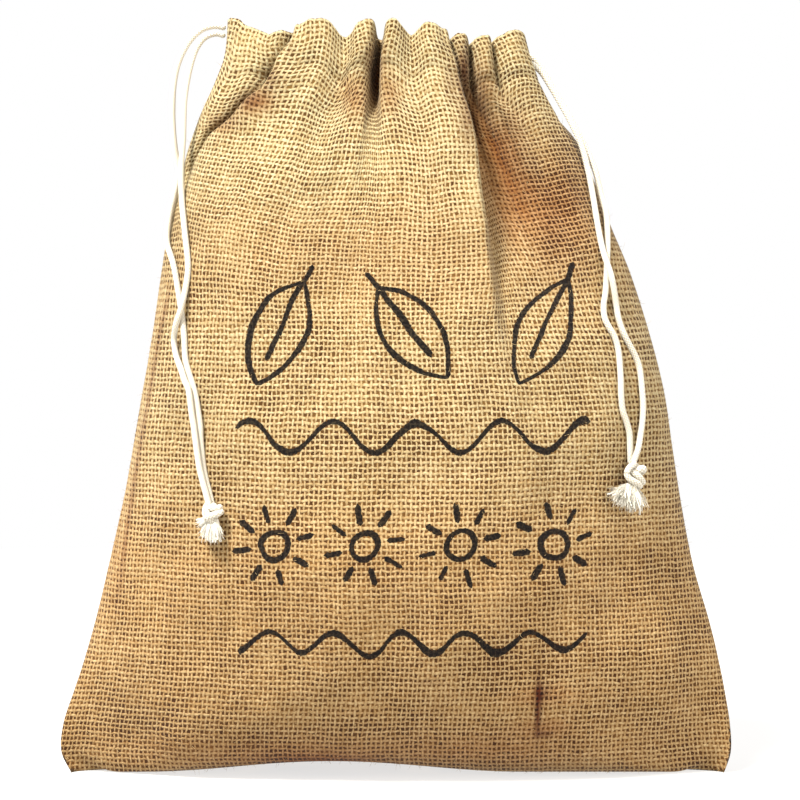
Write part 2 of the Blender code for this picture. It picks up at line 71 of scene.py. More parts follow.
# %% The camera
TARGET = np.array([0.0018, 0.0, 0.1712])
DISTANCE = 1.35                  # metres from the target to the camera
RISE = math.radians(2.0)         # how far it looks down
FIELD = 0.3653                   # metres of the target's plane that the picture shows

scene = bpy.context.scene
lens = bpy.data.cameras.new("camera")
lens.sensor_width = 36.0
lens.lens = lens.sensor_width * DISTANCE / FIELD
camera = bpy.data.objects.new("camera", lens)
camera.location = TARGET + DISTANCE * np.array([0.0, -math.cos(RISE), math.sin(RISE)])
camera.rotation_euler = (math.pi / 2.0 - RISE, 0.0, 0.0)
scene.collection.objects.link(camera)
scene.camera = camera
scene.view_settings.view_transform = "Standard"
print("camera", round(lens.lens, 1), "mm lens, at", np.round(camera.location, 3))

# %% The lights
# Name, place and aim (metres), side of the square (metres), power (watts), tint.
LIGHTS = (("key", (-1.35, -1.6, 3.0), (0.0, 0.0, 0.2), 0.8, 352.0, "#fffaf2"),
          ("fill", (1.1, -1.2, 0.7), (0.0, 0.0, 0.15), 1.2, 17.0, "#fff6ea"))

for name, place, aim, size, power, tint in LIGHTS:
    data = bpy.data.lights.new(name, "AREA")
    data.size = size
    data.energy = power
    data.color = colour(tint)[:3]
    lamp = bpy.data.objects.new(name, data)
    lamp.location = place
    way = np.array(aim) - np.array(place)
    lamp.rotation_euler = (math.atan2(math.hypot(way[0], way[1]), -way[2]), 0.0,
                           math.atan2(way[1], way[0]) - math.pi / 2.0)
    scene.collection.objects.link(lamp)
world = bpy.data.worlds.new("surround")
world.use_nodes = True
surround = world.node_tree.nodes["Background"]
surround.inputs["Color"].default_value = colour("#ffffff")
surround.inputs["Strength"].default_value = 1.0
scene.world = world
print("lights:", *(light[0] for light in LIGHTS), "and a white surround")


# %% The floor
def new_finish(name, sockets):
    """A material, its node tree and its shader, with plain values set on the shader's sockets."""
    made = bpy.data.materials.new(name)
    made.use_nodes = True
    shader = made.node_tree.nodes["Principled BSDF"]
    for socket, value in sockets.items():
        shader.inputs[socket].default_value = value
    return made, made.node_tree, shader


# Opal acrylic, sanded on top: it gives no mirror image, only an even white glow.
FLOOR_HALF = 1.2                 # metres from the middle to an edge
milky_acrylic, _, _ = new_finish("milky_acrylic", {
    "Base Color": colour("#8f8e8c"), "Emission Color": colour("#ffffff"),
    "Emission Strength": 0.7, "Roughness": 0.9, "Specular IOR Level": 0.0})
floor_mesh = bpy.data.meshes.new("floor")
floor_mesh.from_pydata([(x * FLOOR_HALF, y * FLOOR_HALF, 0.0)
                        for x, y in ((-1, -1), (1, -1), (1, 1), (-1, 1))], [], [(0, 1, 2, 3)])
floor_mesh.materials.append(milky_acrylic)
floor = bpy.data.objects.new("floor", floor_mesh)
scene.collection.objects.link(floor)
print("floor:", 2.0 * FLOOR_HALF, "m wide, of", milky_acrylic.name)

# %% [markdown]
# ## Surfaces on a grid
#
# Every shape here is an array of rows and columns of points. Neighbouring rows and columns make
# the faces, and the last column joins the first, as on a tube. Each corner of a face keeps its own
# place on the pattern, so a pattern can run round a tube without a seam.


# %% A mesh from arrays of points
def closed_grid(rows, columns):
    """The row and the column of the four corners of every face, and their point numbers, row *
    columns + column. The last face's right corners have column number `columns`, which stands for
    column 0."""
    r, c = np.meshgrid(np.arange(rows - 1), np.arange(columns), indexing="ij")
    r = np.stack((r, r, r + 1, r + 1), axis=-1).reshape(-1, 4)
    c = np.stack((c, c + 1, c + 1, c), axis=-1).reshape(-1, 4)
    return r, c, r * columns + c % columns


def piece_of(name, points, faces, finish, uv, values=None):
    """An object from points in millimetres, faces, and for each face's corners a place on the
    pattern. `values` are named numbers for every point."""
    mesh = bpy.data.meshes.new(name)
    mesh.from_pydata(points * MM, [], faces.tolist())
    mesh.materials.append(finish)
    layer = mesh.uv_layers.new(name="pattern")
    layer.data.foreach_set("uv", uv.astype(np.float32).ravel())
    for label, numbers in (values or {}).items():
        attribute = mesh.attributes.new(label, "FLOAT", "POINT")
        attribute.data.foreach_set("value", numbers.astype(np.float32).ravel())
    mesh.shade_smooth()
    mesh.update()
    made = bpy.data.objects.new(name, mesh)
    scene.collection.objects.link(made)
    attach(made, "root")
    print(name + ":", len(points), "points,", 2 * len(faces), "triangles")
    return made


# %% [markdown]
# ## Patterns from nodes
#
# A finish is a chain of small sums that Blender works out for every point it shades. One function
# adds each of them. It knows the nodes by short names, and takes any other name to be a sum of the
# Math node, such as ADD or SINE.

# %% Adding a node
KINDS = {
    "pattern": ("ShaderNodeUVMap", {"uv_map": "pattern"}),
    "place": ("ShaderNodeTexCoord", {}),
    "value": ("ShaderNodeAttribute", {}),
    "split": ("ShaderNodeSeparateXYZ", {}),
    "join": ("ShaderNodeCombineXYZ", {}),
    "vector": ("ShaderNodeVectorMath", {}),
    "turned": ("ShaderNodeVectorRotate", {"rotation_type": "Z_AXIS"}),
    "noise": ("ShaderNodeTexNoise", {}),
    "flat noise": ("ShaderNodeTexNoise", {"noise_dimensions": "2D"}),
    "dice": ("ShaderNodeTexWhiteNoise", {}),
    "ramp": ("ShaderNodeMapRange", {"interpolation_type": "SMOOTHSTEP"}),
    "choose": ("ShaderNodeMix", {}),
    "blend": ("ShaderNodeMix", {"data_type": "RGBA"}),
    "times_colour": ("ShaderNodeMix", {"data_type": "RGBA", "blend_type": "MULTIPLY"}),
    "bump": ("ShaderNodeBump", {}),
}


def feed(tree, socket, value):
    """Links an output to a socket, or sets a number, a vector or a colour on it."""
    if isinstance(value, bpy.types.NodeSocket):
        tree.links.new(value, socket)
    else:
        socket.default_value = value


def node(tree, name, *inputs, **named):
    """Adds one node and feeds its inputs in their order. Names with a capital are sockets too, and
    the others are settings. Gives the node's output, or all of them where it has several."""
    kind, usual = KINDS.get(name, ("ShaderNodeMath", {"operation": name}))
    made = tree.nodes.new(kind)
    for key, value in {**usual, **named}.items():
        if key.islower():
            setattr(made, key, value)
        else:
            feed(tree, made.inputs[key], value)
    for socket, value in zip([s for s in made.inputs if s.enabled], inputs):
        feed(tree, socket, value)
    in_use = [s for s in made.outputs if s.enabled]
    return in_use[0] if len(in_use) == 1 else made.outputs


print("short names of nodes:", len(KINDS))

# %% [markdown]
# ## The cotton finish
#
# The drawcords are fine braided cotton. Up close the braid is two sets of slanting strands that
# pass over and under each other, so its relief is a lattice of small pillows with thin shadows
# between them. Strands modelled one by one would cost far more faces than a cord of this width
# can show. So the tube carries a low lattice, and the finish draws the same one: it is laid out in
# millimetres along the cord and in turns round it.

# %% Braided cotton
BRAID_PITCH = 3.0                # mm along the cord for one turn of the lattice
BRAID_STRANDS = 3                # pillows side by side round the cord
FUZZ_SCALE = 2600.0              # per metre: single fibres show as grains of 0.4 mm
TONE_SCALE = 60.0                # per metre: the cotton yellows in patches of 17 mm
PILLOW_HEIGHT = 0.00022          # metres


def braided_cotton():
    """Off-white cotton. The lattice |cos(s + 3a) cos(s - 3a)| lowers the lines between the pillows
    and darkens them with painted shade, and a fine noise gives the eye its soft, slightly fuzzy
    lustre."""
    made, tree, shader = new_finish("braided_cotton", {
        "Roughness": 0.85, "Sheen Weight": 0.25, "Sheen Roughness": 0.5,
        "Specular IOR Level": 0.2})
    around, along, _ = node(tree, "split", node(tree, "pattern"))
    around = node(tree, "MULTIPLY", around, TURN * BRAID_STRANDS)
    along = node(tree, "MULTIPLY", along, TURN / BRAID_PITCH)
    rising = node(tree, "COSINE", node(tree, "ADD", along, around))
    falling = node(tree, "COSINE", node(tree, "SUBTRACT", along, around))
    pillow = node(tree, "ABSOLUTE", node(tree, "MULTIPLY", rising, falling))
    spot = node(tree, "place")["Object"]
    fuzz = node(tree, "noise", spot, FUZZ_SCALE, 3.0)[0]
    tone = node(tree, "noise", spot, TONE_SCALE, 2.0)[0]
    light = node(tree, "ramp", pillow, 0.02, 0.42)
    grey = node(tree, "MULTIPLY_ADD", fuzz, 0.25, -0.125)
    light = node(tree, "ADD", light, grey, use_clamp=True)
    cotton_tone = node(tree, "blend", tone, colour("#d2d0c7"), colour("#cbc5b5"))
    # Painted shade: the lines between the pillows are mixed towards a darker brown-grey.
    shaded = node(tree, "blend", light, colour("#988b73"), cotton_tone)
    height = node(tree, "ADD", pillow, node(tree, "MULTIPLY", fuzz, 0.3))
    bump = node(tree, "bump", Strength=0.7, Distance=PILLOW_HEIGHT, Height=height)
    feed(tree, shader.inputs["Base Color"], shaded)
    feed(tree, shader.inputs["Normal"], bump)
    return made


cotton = braided_cotton()
print("finish:", cotton.name)

# %% [markdown]
# ## The drawcords
#
# Two cords run round the heading and each leaves it at one side. So two free strands hang on each
# side, cross each other once, and end in a knot. A limp cord follows the cloth that it lies on, so
# each route is a short list of points, smoothed by a curve that passes through all of them. A
# curve object with a round bevel would be quicker, but has no lattice on it, and its pattern would
# stretch where the points lie far apart.

# %% Routes of the free strands
ROUTES = {
    "strand_left_outer": (
        (-77.7, 6.9, 341), (-82.8, 6.6, 341.9), (-88.6, 5.8, 340.2), (-93.6, 4.8, 335.6),
        (-97.2, 3.6, 329.6), (-99.8, 2.5, 322.8), (-101.3, 1.5, 314), (-101.7, 0.5, 306),
        (-101.6, -0.4, 297), (-100.7, -1.6, 287), (-98.8, -2, 276), (-99.3, -2.4, 271),
        (-101.2, -3.4, 262.6), (-102.6, -5.4, 256), (-103.6, -9.8, 243.5),
        (-99.6, -20.2, 231.5), (-96.1, -28.9, 214), (-94.3, -33.5, 201.5),
        (-93.3, -36.2, 189.5), (-89.2, -41.1, 176.5), (-87.4, -43, 167),
        (-86.6, -43.8, 161), (-86.3, -44.1, 155), (-85.2, -45.1, 144),
        (-83.9, -46, 137.3), (-82.7, -46.8, 133), (-81.6, -47.5, 128.8)),
    "strand_left_inner": (
        (-77.9, 6.9, 337.4), (-82.4, 6.4, 338.4), (-87.4, 5, 336.4), (-91, 3.4, 331.4),
        (-93.2, 1.4, 324.8), (-94.8, -1.2, 317), (-96.1, -4.3, 306), (-96.4, -7, 290),
        (-97.1, -10.2, 276), (-96.6, -13.8, 263), (-94.8, -20.7, 248),
        (-92.9, -27.2, 233.5), (-93.2, -29.8, 226), (-94.4, -32.6, 218.5),
        (-95.9, -34.2, 212), (-97.9, -33.4, 206), (-99, -30.6, 199),
        (-97.8, -32.8, 192), (-95.2, -39, 186), (-93.4, -41.8, 181),
        (-91.6, -43.6, 177), (-90.2, -44.9, 167), (-89.2, -45.8, 161),
        (-88.4, -46.7, 155), (-86.8, -48, 144), (-85.2, -49, 137.3),
        (-84, -49.8, 133), (-82.8, -50.6, 128.8)),
    "strand_right_front": (
        (61.7, 6.4, 325), (66.3, 5.6, 320.8), (70, 4, 315), (74.3, 2.2, 307.5),
        (79.4, -0.6, 298), (84.2, -3.6, 287), (87, -6.4, 275.8), (88.9, -10.1, 264.7),
        (90.2, -14.3, 255), (91.5, -18.6, 246), (92.8, -22.4, 239), (94.2, -26.4, 233.7),
        (96, -29.1, 228), (97.4, -29, 221), (98.4, -28.4, 214.4), (99.3, -29.5, 208.7),
        (101.6, -30.2, 202), (104.8, -28.9, 195.9), (107.4, -27.6, 191),
        (109, -27.5, 186), (109.9, -29.4, 177), (110.3, -30.2, 170),
        (110, -31.4, 163.8), (108.9, -33.6, 157), (107.6, -38.3, 151.2),
        (106, -40.2, 147)),
    "strand_right_back": (
        (60.6, 9.4, 329.4), (65.8, 9.6, 324.4), (70.4, 8, 316.4), (75.2, 5.8, 308),
        (80.6, 2.6, 297.5), (86.2, -0.6, 286), (90.4, -2.8, 275.8), (93, -4.6, 264.7),
        (95, -7.6, 257), (95.4, -10.6, 251), (95.3, -15.3, 243.7), (94.9, -20, 237),
        (94.5, -23.4, 232), (94, -26.9, 225.7), (93.4, -29.8, 220), (92.4, -32.9, 214.4),
        (92.8, -34.6, 209), (94.6, -35, 205), (97.2, -34.6, 200.6), (98.8, -34.6, 195),
        (99.5, -35.8, 188), (99.8, -37.4, 181), (99.9, -39.1, 174), (100.6, -39.1, 168),
        (102.1, -38.2, 163.7), (103.7, -37.1, 158), (104, -37, 152.6),
        (104.2, -37.3, 147)),
}
print("points on the routes:", *(len(route) for route in ROUTES.values()))

# %% A smooth route
RING_STEP = 0.4                  # mm along a strand from ring to ring
POINTS_BETWEEN = 24              # fine points from one given point to the next


def run_of(points):
    """The distance along a path from its first point to each of its points."""
    return np.concatenate(([0.0], np.cumsum(np.linalg.norm(np.diff(points, axis=0), axis=1))))


def with_ends(rows):
    """The rows with one more at each end, in line with the two that are nearest."""
    return np.concatenate(([2.0 * rows[0] - rows[1]], rows, [2.0 * rows[-1] - rows[-2]]))


def catmull_rom(before, start, end, after, t):
    """At the share t of the way from start to end, the cubic that leaves and reaches them parallel
    to the lines through their neighbours."""
    return 0.5 * (2.0 * start + (end - before) * t
                  + (2.0 * before - 5.0 * start + 4.0 * end - after) * t ** 2
                  + (3.0 * start - before - 3.0 * end + after) * t ** 3)


def smooth_route(points, step):
    """Evenly spaced points in millimetres on a Catmull-Rom curve through the given ones."""
    points = np.array(points, float)
    padded = with_ends(points)
    four = (padded[i:len(points) - 1 + i, None] for i in range(4))
    t = np.linspace(0.0, 1.0, POINTS_BETWEEN, endpoint=False)[None, :, None]
    fine = np.concatenate((catmull_rom(*four, t).reshape(-1, 3), points[-1:]))
    run = run_of(fine)
    even = np.linspace(0.0, run[-1], max(int(round(run[-1] / step)), 2) + 1)
    return np.stack([np.interp(even, run, fine[:, axis]) for axis in range(3)], axis=1)


# %% A braided tube along a route
CORD_SIDES = 16
BRAID_RELIEF = 0.07              # share of the radius
LEAST_SIZE = 0.02                # share of the radius that is left at the tip of a dome


def unit(vectors):
    """Each vector divided by its length."""
    return vectors / np.linalg.norm(vectors, axis=-1, keepdims=True)


def angles_round(sides):
    """Even angles round a ring."""
    return np.linspace(0.0, TURN, sides, endpoint=False)


def rings_round(paths, up, radii, sides):
    """Rings across each path: path + r (cos a, sin a) in the plane of side = ahead x up and of
    over = side x ahead."""
    ahead = unit(np.gradient(paths, axis=-2))
    side = unit(np.cross(ahead, up))
    over = np.cross(side, ahead)
    angle = angles_round(sides)[:, None]
    return paths[..., None, :] + radii[..., None] * (np.cos(angle) * side[..., None, :]
                                                     + np.sin(angle) * over[..., None, :])


def tube(path, radius, up=(0.0, 1.0, 0.0)):
    """A tube round a path, in millimetres, with the braid's lattice |cos(s + 3a) cos(s - 3a)|
    raised on it. Each end closes in a dome, r = sqrt(1 - (1 - s)^2)."""
    s = run_of(path)
    from_end = np.minimum(s, s[-1] - s) / radius
    size = np.sqrt(np.clip(1.0 - (1.0 - np.minimum(from_end, 1.0)) ** 2, LEAST_SIZE ** 2, 1.0))
    turn = TURN * s[:, None] / BRAID_PITCH
    angle = BRAID_STRANDS * angles_round(CORD_SIDES)
    lattice = np.abs(np.cos(turn + angle) * np.cos(turn - angle))
    radii = (radius * size)[:, None] * (1.0 + BRAID_RELIEF * (lattice - 0.5))
    points = rings_round(path, np.array(up), radii, CORD_SIDES)
    rows, columns, faces = closed_grid(len(path), CORD_SIDES)
    return points.reshape(-1, 3), faces, np.stack((columns / CORD_SIDES, s[rows]), axis=-1)


# %% The four free strands
LAID_RADIUS = 1.34               # mm; a braid that hangs free is drawn a little thinner
INTO_KNOT = 3.6                  # mm that each strand runs on, straight, inside its knot

strands, paths = {}, {}
for name, route in ROUTES.items():
    path = smooth_route(route, RING_STEP)
    run_on = np.arange(RING_STEP, INTO_KNOT, RING_STEP)[:, None] * unit(path[-1] - path[-2])
    path = np.concatenate((path, path[-1] + run_on))
    points, faces, uv = tube(path, LAID_RADIUS)
    strands[name] = piece_of(name.replace("strand", "cord"), points, faces, cotton, uv)
    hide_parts(name)
    paths[name] = path * MM
    print(strands[name].name, round(float(run_of(path)[-1])), "mm long")

# %% [markdown]
# ## Knots with frayed ends
#
# Both strands of a side are tied together in one overhand knot, so its turns are pairs of cord
# that wrap each other. Below it the cut ends have come unbraided into soft plies and single
# fibres. A rope could be pulled tight in a simulation, but where its turns end up is hard to
# steer. So the turns are tubes along listed routes in the knot's own frame: across, outwards
# and up, in millimetres. The plies are many thin tubes, all worked out at once.


# %% Many thin tubes at once
def many_tubes(paths, radii, sides):
    """Tubes round many paths of equal point counts: arrays (tube, point, xyz) and (tube, point).
    Their place on the pattern is nought all over, so a braid's relief leaves them plain."""
    count, rings = paths.shape[:2]
    mean = unit(np.gradient(paths, axis=1)).mean(axis=1, keepdims=True)
    least = np.eye(3)[np.argmin(np.abs(mean), axis=2)]
    points = rings_round(paths, least, radii[..., None], sides)
    starts = np.arange(count)[:, None, None] * rings * sides
    faces = (closed_grid(rings, sides)[2] + starts).reshape(-1, 4)
    return points.reshape(-1, 3), faces, np.zeros((len(faces), 4, 2))


# %% The solid middle of a knot
BALL_RINGS, BALL_SIDES = 14, 20
POLE = 0.02                      # radians from the pole to the first ring


def ball(radii):
    """An egg round the knot's middle: (rx sin p cos q, ry sin p sin q, rz cos p)."""
    p = np.linspace(POLE, math.pi - POLE, BALL_RINGS)[:, None]
    q = angles_round(BALL_SIDES)[None, :]
    points = np.stack((radii[0] * np.sin(p) * np.cos(q), radii[1] * np.sin(p) * np.sin(q),
                       radii[2] * np.cos(p) * np.ones_like(q)), axis=-1)
    rows, columns, faces = closed_grid(BALL_RINGS, BALL_SIDES)
    uv = np.stack((columns / BALL_SIDES, rows * 1.0), axis=-1)
    return points.reshape(-1, 3), faces[:, ::-1], uv[:, ::-1]


# %% Turns and tufts of the two knots
# Turns: radius of the cord, then the points it passes. Tuft: middle of the roots, half their
# width, lean of the first and last ply (degrees from straight down, positive to the left), length
# of the outer and the middle plies, number of plies.
KNOTS = {
    "knot_left": {
        "middle": (-80.4, -50.3, 123.6), "faces": (-0.5, -0.87), "core": (2.9, 2.2, 4.2),
        "turns": (
            (1.35, ((-2.6, -0.6, 2.6), (-1.6, 1.2, 2.5), (0.6, 2.3, 1.9), (2.4, 1.9, 1.7),
                    (3.2, 0.4, 2), (2.6, -1.2, 2.2), (0.6, -1.8, 1.6))),
            (1.5, ((3, -1.4, 0.6), (3.9, 0.2, 0.2), (3.3, 1.9, -0.5), (1.2, 2.9, -1.3),
                   (-1, 2.9, -2.2), (-2.6, 1.6, -2.6), (-2.8, -0.2, -2.2))),
            (1.4, ((-1.9, 0.2, 4.2), (-2.7, 1.6, 2.4), (-2.9, 2.2, 0), (-2.2, 2.2, -2.2),
                   (-1.2, 1.4, -4.4))),
            (1.35, ((-0.9, 0.4, 4), (-1.5, 1.9, 1.4), (-1.2, 2.5, -0.8), (0, 1.8, -3),
                    (0.6, 1, -4.8))),
        ),
        "tufts": (
            ((-0.2, 0.6, -3.4), 2.4, 14, -24, 6.6, 8.6, 38),
            ((-2.2, 0.8, -2.8), 0.9, 76, 50, 5, 5.4, 10),
        ),
    },
    "knot_right": {
        "middle": (105.3, -40.4, 139.6), "faces": (0.59, -0.81), "core": (3, 2.2, 4.6),
        "turns": (
            (1.4, ((0.6, 0.2, 4.9), (-1.8, 1.7, 4.4), (-4.2, 2.1, 3.2), (-5.4, 1.9, 1),
                   (-4.7, 2.2, -1.2), (-2.6, 2.9, -2.7), (0, 3.1, -3.9), (2, 2, -5),
                   (2.8, 0.2, -5.2), (1.8, -1.2, -4.4))),
            (1.4, ((-2.2, 0.6, 1.6), (-1.7, 2.4, 0.6), (0.3, 3.3, -0.9), (2.5, 2.9, -2.6),
                   (4.1, 1.4, -3.6), (4.2, -0.6, -3.2), (2.6, -1.4, -2))),
            (1.25, ((-1.2, 1, -3.2), (-1.5, 1.9, -5.6), (-1.4, 2.2, -8), (-1, 2.1, -10.2))),
            (1.7, ((-1, 0.2, 1.6), (0.8, 2, 2), (3, 2.4, 2.5), (4.5, 1.2, 2),
                   (4.6, -0.4, 0.9), (3, -1.2, 0))),
            (1.4, ((0.6, -1.2, 4.4), (2.4, -0.8, 3.4), (2.6, 0.6, 1.4), (0.8, 1.2, -0.6))),
        ),
        "tufts": (
            ((-1.9, 0.4, -4.2), 2, 68, -20, 10.8, 10.4, 54),
            ((-2.1, 0.9, -4.4), 2, 58, -12, 7.6, 8.6, 40),
        ),
    },
}
print("turns:", *(len(knot["turns"]) for knot in KNOTS.values()))

# %% A frayed tuft
chance = np.random.default_rng(11)
PLY_RINGS = 9
PLY_RADIUS, FIBRE_RADIUS = 0.55, 0.08    # mm
FIBRES_TO_A_PLY = 9


def tuft_of(spec):
    """Plies and fibres that fan out from their roots: path = root + length (t way + curl), where
    way leans from the first angle to the last and curl is a small wave that grows with t."""
    root, half_width, first, last, outer_length, middle_length, count = spec
    parts = []
    for number, radius, spread, sides in ((count, PLY_RADIUS, 1.0, 6),
                                          (count * FIBRES_TO_A_PLY, FIBRE_RADIUS, 1.2, 3)):
        share = (np.linspace(0.0, 1.0, number) if radius == PLY_RADIUS
                 else chance.uniform(0.0, 1.0, number))
        lean = np.radians((first + last) / 2.0 + (first - last) * (0.5 - share) * spread)
        lean = lean + chance.normal(0.0, 0.07, number)
        lift = chance.uniform(0.0, 0.42, number)
        length = outer_length + (middle_length - outer_length) * np.sin(math.pi * share)
        length = length * chance.uniform(0.8, 1.06, number)
        start = np.array(root) + np.stack((half_width * (2.0 * share - 1.0),
                                           chance.uniform(-0.8, 0.9, number),
                                           chance.uniform(-0.5, 0.6, number)), axis=1)
        way = np.stack((-np.sin(lean), np.sin(lift), -np.cos(lean) * np.cos(lift)), axis=1)
        t = np.linspace(0.0, 1.0, PLY_RINGS)[None, :, None]
        bend = chance.normal(0.0, 0.10, (number, 1, 3)) * t ** 2
        wave = 0.05 * np.sin(5.0 * t + chance.uniform(0.0, 6.3, (number, 1, 3))) * t
        sag = np.array([0.0, 0.0, -0.10]) * t ** 2
        routes = start[:, None] + length[:, None, None] * (t * way[:, None] + bend + wave + sag)
        swell = np.sin(np.linspace(0.25, 0.93, PLY_RINGS) * math.pi) ** 0.5
        radii = radius * chance.uniform(0.75, 1.2, (number, 1)) * swell[None, :]
        parts.append(many_tubes(routes, radii, sides))
    return parts


# %% The two tied knots
TURN_STEP = 0.3                  # mm along a turn from ring to ring


def joined(parts):
    """Several (points, faces, uv) lists as one: the face numbers are moved on by the points that
    come before them."""
    starts = np.cumsum([0] + [len(points) for points, _, _ in parts[:-1]])
    return (np.concatenate([points for points, _, _ in parts]),
            np.concatenate([faces + start for (_, faces, _), start in zip(parts, starts)]),
            np.concatenate([uv for _, _, uv in parts]))


for name, knot in KNOTS.items():
    outwards = np.array([*knot["faces"], 0.0]) / np.hypot(*knot["faces"])
    turned = np.stack(((-outwards[1], outwards[0], 0.0), outwards, (0.0, 0.0, 1.0)))
    parts = [ball(knot["core"])]
    for radius, route in knot["turns"]:
        parts.append(tube(smooth_route(route, TURN_STEP), radius, up=(0.02, 0.05, 1.0)))
    for spec in knot["tufts"]:
        parts.extend(tuft_of(spec))
    points, faces, uv = joined(parts)
    points = points @ turned + np.array(knot["middle"])
    made = piece_of(name.replace("knot", "tied_knot"), points, faces, cotton, uv)
    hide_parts(name)

# %% Each strand with its path
for name, strand in strands.items():
    path = paths[name]

# %% [markdown]
# ## The shape of the cloth
#
# A sack is one length of cloth, folded at the bottom and sewn up both sides. Filled and gathered,
# its outline is a soft loop that changes from the flat bottom fold to the pleated mouth. So the
# front and the back are each described by two tables. One has a row for each level, with the loop
# there. The other has a row for each fold line: where it runs, how far it stands out, how sharp it
# is, how far it leans over its neighbour and how much cloth it hides. A cloth simulation would
# find folds of its own, and on this sack the place of each pleat is known, so tables say it. All
# of it is in millimetres.

# %% Levels of the sack
# Height at the side seams, left and right seam x, seam y, middle of the front (y, height), middle
# of the back (y, height), and how far from the seam the cloth has come down to its middle height.
LEVELS = np.array((
    (0, -149, 150.5, 1, 22, 0, 22, 0, 26),
    (10, -153.5, 153.5, 0, 10, 0, 34, 0, 24),
    (23, -152.5, 153, 0, -2, 0.9, 45, 0, 30),
    (38, -147.5, 150.5, 0, -15, 4.5, 54, 5, 46),
    (54, -142, 147, 0, -28, 14, 60.5, 17, 60),
    (72, -137, 142.5, 0, -41, 30, 64.5, 36, 80),
    (94, -132, 136.5, 1, -52.5, 53, 66, 61, 100),
    (120, -126.5, 131.5, 2, -61.5, 83, 66, 91, 110),
    (148, -121, 127, 3, -65.5, 116, 64.5, 123, 110),
    (176, -116, 122.5, 4, -66, 149, 61.5, 155, 110),
    (203, -111, 115.5, 5, -62, 181, 57.5, 186, 105),
    (228, -107, 107.5, 6, -54.5, 211, 53, 215, 100),
    (250, -103, 98.5, 6, -46, 237, 48, 240, 90),
    (269, -98.5, 91.5, 6.5, -38, 260, 43, 262, 80),
    (285, -95, 85, 7, -31, 279, 38.5, 280, 70),
    (299, -89.5, 78, 7, -25, 296, 34.5, 296, 60),
    (311, -83, 71.5, 7, -20.5, 310, 31, 310, 60),
    (321, -79, 66, 7, -17.5, 321, 29, 321, 60),
    (330, -77.5, 61.8, 7, -16, 330, 28, 330, 60),
    (339, -77, 59, 7, -15, 339, 27.5, 339, 60),
))
EDGE_HEIGHT = 339.0
STITCH_HEIGHT = 319.0            # the heading's stitch line
BODY_HEIGHT = 205.0              # the folds have died away below this
print("levels:", len(LEVELS))

# %% Fold lines of the front
# Each fold line is followed from the edge down: its x, and then how far it stands out, at each of
# the fold heights. Last: its height at the edge, its share of the cloth's width (percent), how
# sharp it is, its lean (mm) and how much cloth it hides (parts).
FRONT_HEIGHTS = (339, 330, 321, 312, 303, 292, 278, 258, 230)
FRONT_X = np.array((
    (-77, -77.5, -79, -83, -88, -92.5, -97, -102, -107),
    (-57, -61, -66.5, -73, -79.5, -88.5, -95.5, -100, -103),
    (-45, -47, -50.5, -55.5, -70, -85.5, -93.5, -97, -97),
    (-40, -41.5, -45, -49.5, -57, -64, -72.5, -81, -87),
    (-34, -34, -35, -38.5, -43, -48, -54.5, -62, -69),
    (-22.5, -23, -24.5, -26.5, -30, -33.5, -38, -43, -47.5),
    (-12.6, -14, -17.5, -18.5, -19.5, -21.5, -24, -27, -31),
    (-6.8, -7, -7.6, -8.8, -10, -11, -12.5, -14.5, -17),
    (-1.4, -2.6, -3, -2, 0.5, 2, 2.5, 1, -2),
    (6.8, 6.8, 7.4, 8.5, 10.5, 13, 14.5, 15.5, 15),
    (14.4, 14.4, 15, 16.5, 19.5, 23, 26, 29, 31),
    (18.6, 19.4, 20.4, 22.2, 25.2, 29, 32.5, 36.5, 41),
    (23.6, 25, 26.5, 28.6, 31, 34.5, 38.5, 43.5, 48.5),
    (28.6, 28.8, 29.8, 33, 37, 41, 46, 52, 57.5),
    (34.4, 34.4, 35.2, 38.5, 43, 47.5, 53, 60, 67),
    (39.4, 39.6, 40.6, 44, 48.5, 53.5, 59.5, 67.5, 76),
    (44.4, 44.8, 46.4, 50.5, 55.5, 60.5, 67, 75, 84.5),
    (51.6, 52.2, 54.6, 59.5, 64.5, 69, 75.5, 84, 95.5),
    (59, 61.8, 66, 71, 76, 81.5, 88.5, 95.5, 107),
))
FRONT_OUT = np.array((
    (0, 0, 0, 0, 0, 0, 0, 0, 0),
    (1.5, 3, 4, 4, 2.5, 0.5, 0, 0, 0),
    (-9, -13, -17, -18, -13, -8, -2.5, 0, 0),
    (3.5, 6.5, 9, 10, 8.5, 6.5, 4, 2, 0.5),
    (6.5, 5.5, 5, 6, 7, 7.5, 7, 5, 2.5),
    (0.5, 1.2, 2.4, 3.8, 4.6, 5, 5, 4, 2),
    (6.5, 6, 4.5, 2.5, 2.5, 2.5, 2.5, 2, 1),
    (-9, -13.5, -15.5, -8.5, -1.5, 0.5, 0.5, 0.5, 0.5),
    (6.5, 6, 5.5, 4, 3, 3, 3, 2.5, 1.5),
    (3, 3.5, 4.2, 4.8, 5.2, 5.5, 5.5, 4.5, 2.5),
    (7, 6.5, 6, 6.5, 7.5, 8.5, 8.5, 7, 4),
    (4, 5, 6.5, 8.5, 10.5, 11, 10.5, 8.5, 4.5),
    (-8, -9.5, -12, -17, -18, -16, -12.5, -8.5, -3.5),
    (1.5, 2, 0, -11, -16, -15.5, -12.5, -8.5, -4),
    (-6, -7, -8.5, -9.5, -11, -11.5, -9.5, -6.5, -3),
    (3, 3.5, 2.5, -1, -3.5, -4.5, -4.5, -3.5, -2),
    (-3.5, -3.5, -2.5, 0, 0.5, -0.5, -1.5, -2, -1.5),
    (5, 5.5, 5, 3, 2.5, 2, 1, 0.5, 0),
    (0, 0, 0, 0, 0, 0, 0, 0, 0),
))
